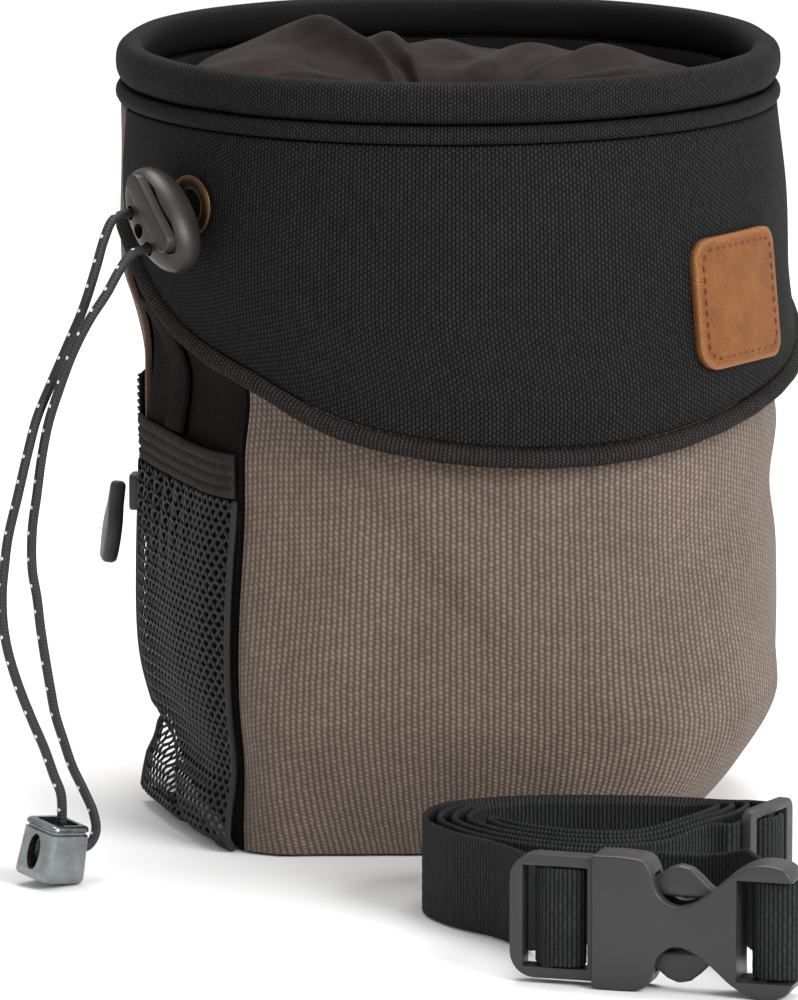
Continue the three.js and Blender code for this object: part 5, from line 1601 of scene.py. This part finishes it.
# Waist belt: one strap wound double into a coil, with a slider and a side-release buckle
belt = {
    "wide": 20 * mm, "wall": 1.3 * mm,
    "centre": (27 * mm, -104 * mm), "left": 36.8 * mm, "right": 37 * mm, "back": 20 * mm, "front": 36 * mm,
    "laps": 2.1, "sidePitch": 3 * mm, "backPitch": 2 * mm, "frontPitch": 4.2 * mm, "start": 230,
    "frontPower": 1.65, "backPower": 2.45,
}
buckle = {
    "tall": 27 * mm,
    "deep": 8.8 * mm,
    "turn": -16.5,
    "spot": (8.6 * mm, -166 * mm),
    "frameTall": 25 * mm,
    "frameLong": 17 * mm,
    "frameDeep": 4.6 * mm,
    "frameCorner": 5 * mm,
    "rail": 2.6 * mm,
    "endRail": 1 * mm,
    "barAt": 10.6 * mm,
    "barWide": 4.4 * mm,
    "barDeep": 2.6 * mm,
    "prongDeep": 3.4 * mm,
    "guideLong": 18 * mm,
    "guideTall": 3 * mm,
    "mouthStart": 17.3 * mm,
    "mouthEnd": 43.4 * mm,
    "mouthTall": 20.2 * mm,
    "mouthMore": 0.8 * mm,
    "endBarAt": 54 * mm,
    "endBarWide": 4 * mm,
}
slider = {"tall": 24.6 * mm, "long": 18 * mm, "deep": 2.2 * mm, "bar": 2.6 * mm, "bearing": -18, "room": 22,
          "standOff": 4.4 * mm, "slotMore": 0.6 * mm}
axis = (math.cos(math.radians(buckle["turn"])), math.sin(math.radians(buckle["turn"])))


def onBuckle(along, front):
    x, y = buckle["spot"]
    return (x + along * axis[0] + front * axis[1], y + along * axis[1] - front * axis[0])


def layerAt(bearing):
    return 2 * (belt["start"] - bearing) / 360


def coilSpot(bearing, layer):
    cos, sin = math.cos(math.radians(bearing)), math.sin(math.radians(bearing))
    reachX = (belt["left"] if cos < 0 else belt["right"]) - layer * belt["sidePitch"]
    reachY = belt["front"] - layer * belt["frontPitch"] if sin < 0 else belt["back"] - layer * belt["backPitch"]
    power = belt["frontPower"] if sin < 0 else belt["backPower"]
    radius = ((abs(cos) / reachX) ** power + (abs(sin) / reachY) ** power) ** (-1 / power)
    return (belt["centre"][0] + radius * cos, belt["centre"][1] + radius * sin)


sliderSeat = coilSpot(slider["bearing"], layerAt(slider["bearing"]))
sliderSeat = (sliderSeat[0] + slider["standOff"] * math.cos(math.radians(slider["bearing"])),
              sliderSeat[1] + slider["standOff"] * math.sin(math.radians(slider["bearing"])))
runUp = coilSpot(slider["bearing"] + 5, layerAt(slider["bearing"] + 5))
runOut = coilSpot(slider["bearing"] - 5, layerAt(slider["bearing"] - 5))
sliderTurn = math.degrees(math.atan2(runOut[1] - runUp[1], runOut[0] - runUp[0]))


def bySlider(run, out):
    cos, sin = math.cos(math.radians(sliderTurn)), math.sin(math.radians(sliderTurn))
    return (sliderSeat[0] + run * cos - out * sin, sliderSeat[1] + run * sin + out * cos)


def strapRoute():
    weaveOut = slider["deep"] / 2 + belt["wall"] / 2 + bag["gap"]
    half = [(-1.25, -1), (-0.72, -1), (-0.5, -0.5), (-0.4, 0.5), (-0.2, 1)]
    sliderRun = half + [(-run, out) for run, out in half[::-1]]
    threaded = [bySlider(run * slider["long"] / 2, out * weaveOut) for run, out in sliderRun]
    roundBar = buckle["barDeep"] / 2 + belt["wall"] / 2 + bag["gap"]
    bar, end = buckle["barAt"], buckle["endBarAt"]
    frameWrap = [onBuckle(bar + a * mm, f) for a, f in (
        (-1, -roundBar), (2.3, -roundBar), (3.8, -0.9 * mm), (3.8, 0.9 * mm), (2.3, roundBar), (-2.6, roundBar),
        (-5.1, 0.2 * mm), (-6, -3.6 * mm))]
    endWrap = [onBuckle(end + a * mm, f) for a, f in (
        (-4.4, -0.9 * mm), (-3.4, 1.2 * mm), (-1.8, roundBar), (2, roundBar), (4, 0.8 * mm), (4, -1.2 * mm),
        (2.6, -3.2 * mm), (1, -6.5 * mm))]
    frameLead = [(14 * mm, -157 * mm), (14.4 * mm, -150 * mm), (12.8 * mm, -143.6 * mm)]
    endLead = [(57.6 * mm, -160 * mm), (54.4 * mm, -150 * mm), (46.4 * mm, -143 * mm), (36 * mm, -138.8 * mm)]
    step, laps = 22.5, belt["laps"] * 360
    inward, outward, done = [], [], False
    turned = 0.0
    while turned <= laps:
        bearing = belt["start"] - turned
        bySeat = abs(bearing - slider["bearing"]) < slider["room"]
        if not bySeat:
            inward.append(coilSpot(bearing, layerAt(bearing)))
        elif not done:
            inward += threaded
            done = True
        outward.insert(0, coilSpot(bearing, layerAt(bearing) + 1))
        turned += step
    last = belt["start"] - laps - step / 3
    fold = [coilSpot(last, layerAt(last) + 0.25), coilSpot(last, layerAt(last) + 0.75)]
    meeting = coilSpot(belt["start"] + 30, layerAt(belt["start"] + 30) + 1)
    return frameWrap + frameLead + inward + fold + outward + [meeting] + endLead[::-1] + endWrap[::-1]


def liftAt(x, y):
    edge = belt["centre"][1] - belt["front"]
    byBuckle = (buckle["tall"] - belt["wide"]) / 2 * smoothStep(edge - y, 1 * mm, 14 * mm)
    away = np.hypot(x - sliderSeat[0], y - sliderSeat[1])
    near = 1 - smoothStep(away, slider["long"] * 0.6, slider["long"] * 1.6)
    return byBuckle + (slider["tall"] - belt["wide"]) / 2 * near


def makeStrap():
    path = routeOf(strapRoute(), 0.8 * mm)
    ahead = headingOf(path)
    normal = np.stack([-ahead[:, 1], ahead[:, 0]], 1)
    run = runOf(path)
    half, deep = belt["wide"] / 2, belt["wall"] / 2
    edge = [(-1, 0), (-0.985, 0.6), (-0.95, 0.9)]
    across = np.linspace(-0.93, 0.93, 25)
    ribbed = [(a, 1 - 0.10 * (0.5 - 0.5 * np.cos(np.pi * 8 * a))) for a in across]
    upper = edge + ribbed + [(-a, d) for a, d in edge[::-1]]
    section = np.array(upper + [(a, -d) for a, d in upper[::-1][1:-1]])
    tall = section[:, 0] * half
    out = section[:, 1] * deep
    lift = liftAt(path[:, 0], path[:, 1])
    places = np.stack([path[:, None, 0] + normal[:, None, 0] * out, path[:, None, 1] + normal[:, None, 1] * out,
                       lift[:, None] + half + tall + 0 * path[:, None, 0]], -1)
    ring = np.append(tall, tall[0]) + half
    spread = np.stack(np.broadcast_arrays(run[:, None], ring[None, :]), -1)
    strap = latticePiece("waistStrap", places, spread, caps=(0, -1))
    dress(strap, webbing, ["waist_strap"])
    print("belt length", round(float(run[-1]), 3))


makeStrap()


def makeSlider():
    look = slider
    plate = platePiece("strapSlider", roundedOutline(look["long"], look["tall"], 2.4 * mm), look["deep"])
    slot = (look["long"] - 3 * look["bar"]) / 2
    size = (slot, 3 * look["deep"], belt["wide"] + look["slotMore"])
    cutAway(plate, [boxPiece("slot", size, (side * (look["bar"] + slot) / 2, 0, 0)) for side in (-1, 1)])
    roundEdges(plate, 0.55 * mm)
    place(plate, (sliderSeat[0], sliderSeat[1], look["tall"] / 2), turnAbout(sliderTurn, "Z"))
    dress(smoothEdges(plate), blackPlastic, ["strap_slider"])


# half of the body's outline in mm: along the buckle, and out from its middle
bodyOutline = [(17.3, 13.5), (24, 13.5), (28.2, 12.7), (29.6, 10.4), (31, 6.4), (34, 4.2), (37.5, 4.8), (41.5, 7.4),
               (46, 11.2), (50, 13.2), (53.5, 13.5), (57, 12.6), (58.4, 10.6)]
prongOutline = [(16, 4.4), (16, 9.6), (29.8, 9.4), (30.6, 9.8), (32.2, 11.1), (34.5, 12.0), (37, 11.4), (39, 9.8),
                (40.6, 8.2), (42.6, 6.8), (42.6, 5.2), (30, 5.6)]


def makeBuckle():
    look = buckle
    half = look["frameTall"] / 2
    turn = turnAbout(look["turn"], "Z")
    spot = (look["spot"][0], look["spot"][1], look["tall"] / 2)
    corner = look["frameCorner"]
    ring = [(look["frameLong"], -half), (look["frameLong"], half)]
    for start, middle in ((90, half - corner), (180, corner - half)):
        for step in range(7):
            t = math.radians(start + 15 * step)
            ring.append((corner + corner * math.cos(t), middle + corner * math.sin(t)))
    frameBody = platePiece("buckleFrame", ring[::-1], look["frameDeep"])
    slotTall = belt["wide"] + slider["slotMore"]
    through = 20 * mm
    first = look["barAt"] - look["barWide"] / 2 - look["rail"]
    last = look["frameLong"] - look["endRail"] - look["barAt"] - look["barWide"] / 2
    cutters = [boxPiece("slotA", (first, through, slotTall), (look["rail"] + first / 2, 0, 0)),
               boxPiece("slotB", (last, through, slotTall), (look["frameLong"] - look["endRail"] - last / 2, 0, 0))]
    for side in (-1, 1):
        cutters.append(boxPiece("thin", (look["barWide"] + 2 * mm, 2 * look["frameDeep"], slotTall),
                                (look["barAt"], side * (look["frameDeep"] + look["barDeep"] / 2), 0)))
    cutAway(frameBody, cutters)
    roundEdges(frameBody, 0.9 * mm, 4)
    for side in (-1, 1):
        outline = [(along * mm, side * out * mm) for along, out in prongOutline]
        arm = platePiece("prong", outline[::-side], look["prongDeep"])
        roundEdges(arm, 0.8 * mm, 3)
        cutAway(frameBody, [arm], "UNION")
    guide = boxPiece("guide", (look["guideLong"], look["prongDeep"], look["guideTall"]),
                     (look["frameLong"] + 8 * mm, 0, 0))
    cutAway(frameBody, [guide], "UNION")
    place(frameBody, spot, turn)
    dress(smoothEdges(frameBody), blackPlastic, ["buckle_frame"])

    outline = routeOf(np.array(bodyOutline) * mm, 0.6 * mm)
    outline = np.concatenate([outline, outline[::-1] * (1, -1)])
    shell = platePiece("buckleBody", outline, look["deep"])
    roundEdges(shell, 1.7 * mm, 5, 40)
    mouthLong = look["mouthEnd"] - look["mouthStart"]
    cutters = [
        boxPiece("mouth", (mouthLong, look["prongDeep"] + look["mouthMore"], look["mouthTall"]),
                 (look["mouthStart"] + mouthLong / 2 - 0.01 * mm, 0, 0)),
        boxPiece("end", (through, through, slotTall), (look["endBarAt"] - look["endBarWide"] / 2 + 5 * mm, 0, 0)),
    ]
    cutAway(shell, cutters)
    bar = boxPiece("bar", (look["endBarWide"], look["barDeep"], slotTall + 1 * mm), (look["endBarAt"], 0, 0))
    roundEdges(bar, 0.8 * mm)
    cutAway(shell, [bar], "UNION")
    place(shell, spot, turn)
    dress(smoothEdges(shell), blackPlastic, ["buckle_body"])


makeSlider()
makeBuckle()
print("belt made")

# Plain pale floor and soft studio light
studio = {
    "floor": (0.9, 0.9, 0.9, 1),
    "reach": 6.0,
    "world": 0.62,
    "aim": (0, 0, 0.08),
    "lights": [
        {"name": "key", "spot": (0.95, -1.0, 0.85), "size": 0.7, "power": 21.0},
        {"name": "fill", "spot": (-1.2, -0.9, 0.5), "size": 0.9, "power": 0.5},
        {"name": "top", "spot": (0.1, 0.4, 1.5), "size": 0.9, "power": 22.0},
    ],
}


def makeStudio():
    mesh = bpy.data.meshes.new("floor")
    corners = [(-1, -1), (1, -1), (1, 1), (-1, 1)]
    mesh.from_pydata([(x * studio["reach"], y * studio["reach"], 0) for x, y in corners], [], [(0, 1, 2, 3)])
    floor = bpy.data.objects.new("floor", mesh)
    floor.location.z = -0.0002
    bpy.context.scene.collection.objects.link(floor)
    material, _, shader = startMaterial("paleFloor", 0.9, Specular_IOR_Level=0.1)
    shader.inputs["Base Color"].default_value = studio["floor"]
    mesh.materials.append(material)
    world = bpy.data.worlds.new("studio")
    world.use_nodes = True
    world.node_tree.nodes["Background"].inputs[0].default_value = (1, 1, 1, 1)
    world.node_tree.nodes["Background"].inputs[1].default_value = studio["world"]
    bpy.context.scene.world = world
    for row in studio["lights"]:
        data = bpy.data.lights.new(row["name"], "AREA")
        data.size = row["size"]
        data.energy = row["power"]
        light = bpy.data.objects.new(row["name"], data)
        light.location = row["spot"]
        light.rotation_mode = "QUATERNION"
        light.rotation_quaternion = (Vector(studio["aim"]) - Vector(row["spot"])).to_track_quat("-Z", "Y")
        bpy.context.scene.collection.objects.link(light)
    bpy.context.scene.view_settings.view_transform = "Standard"


makeStudio()
print("studio made")
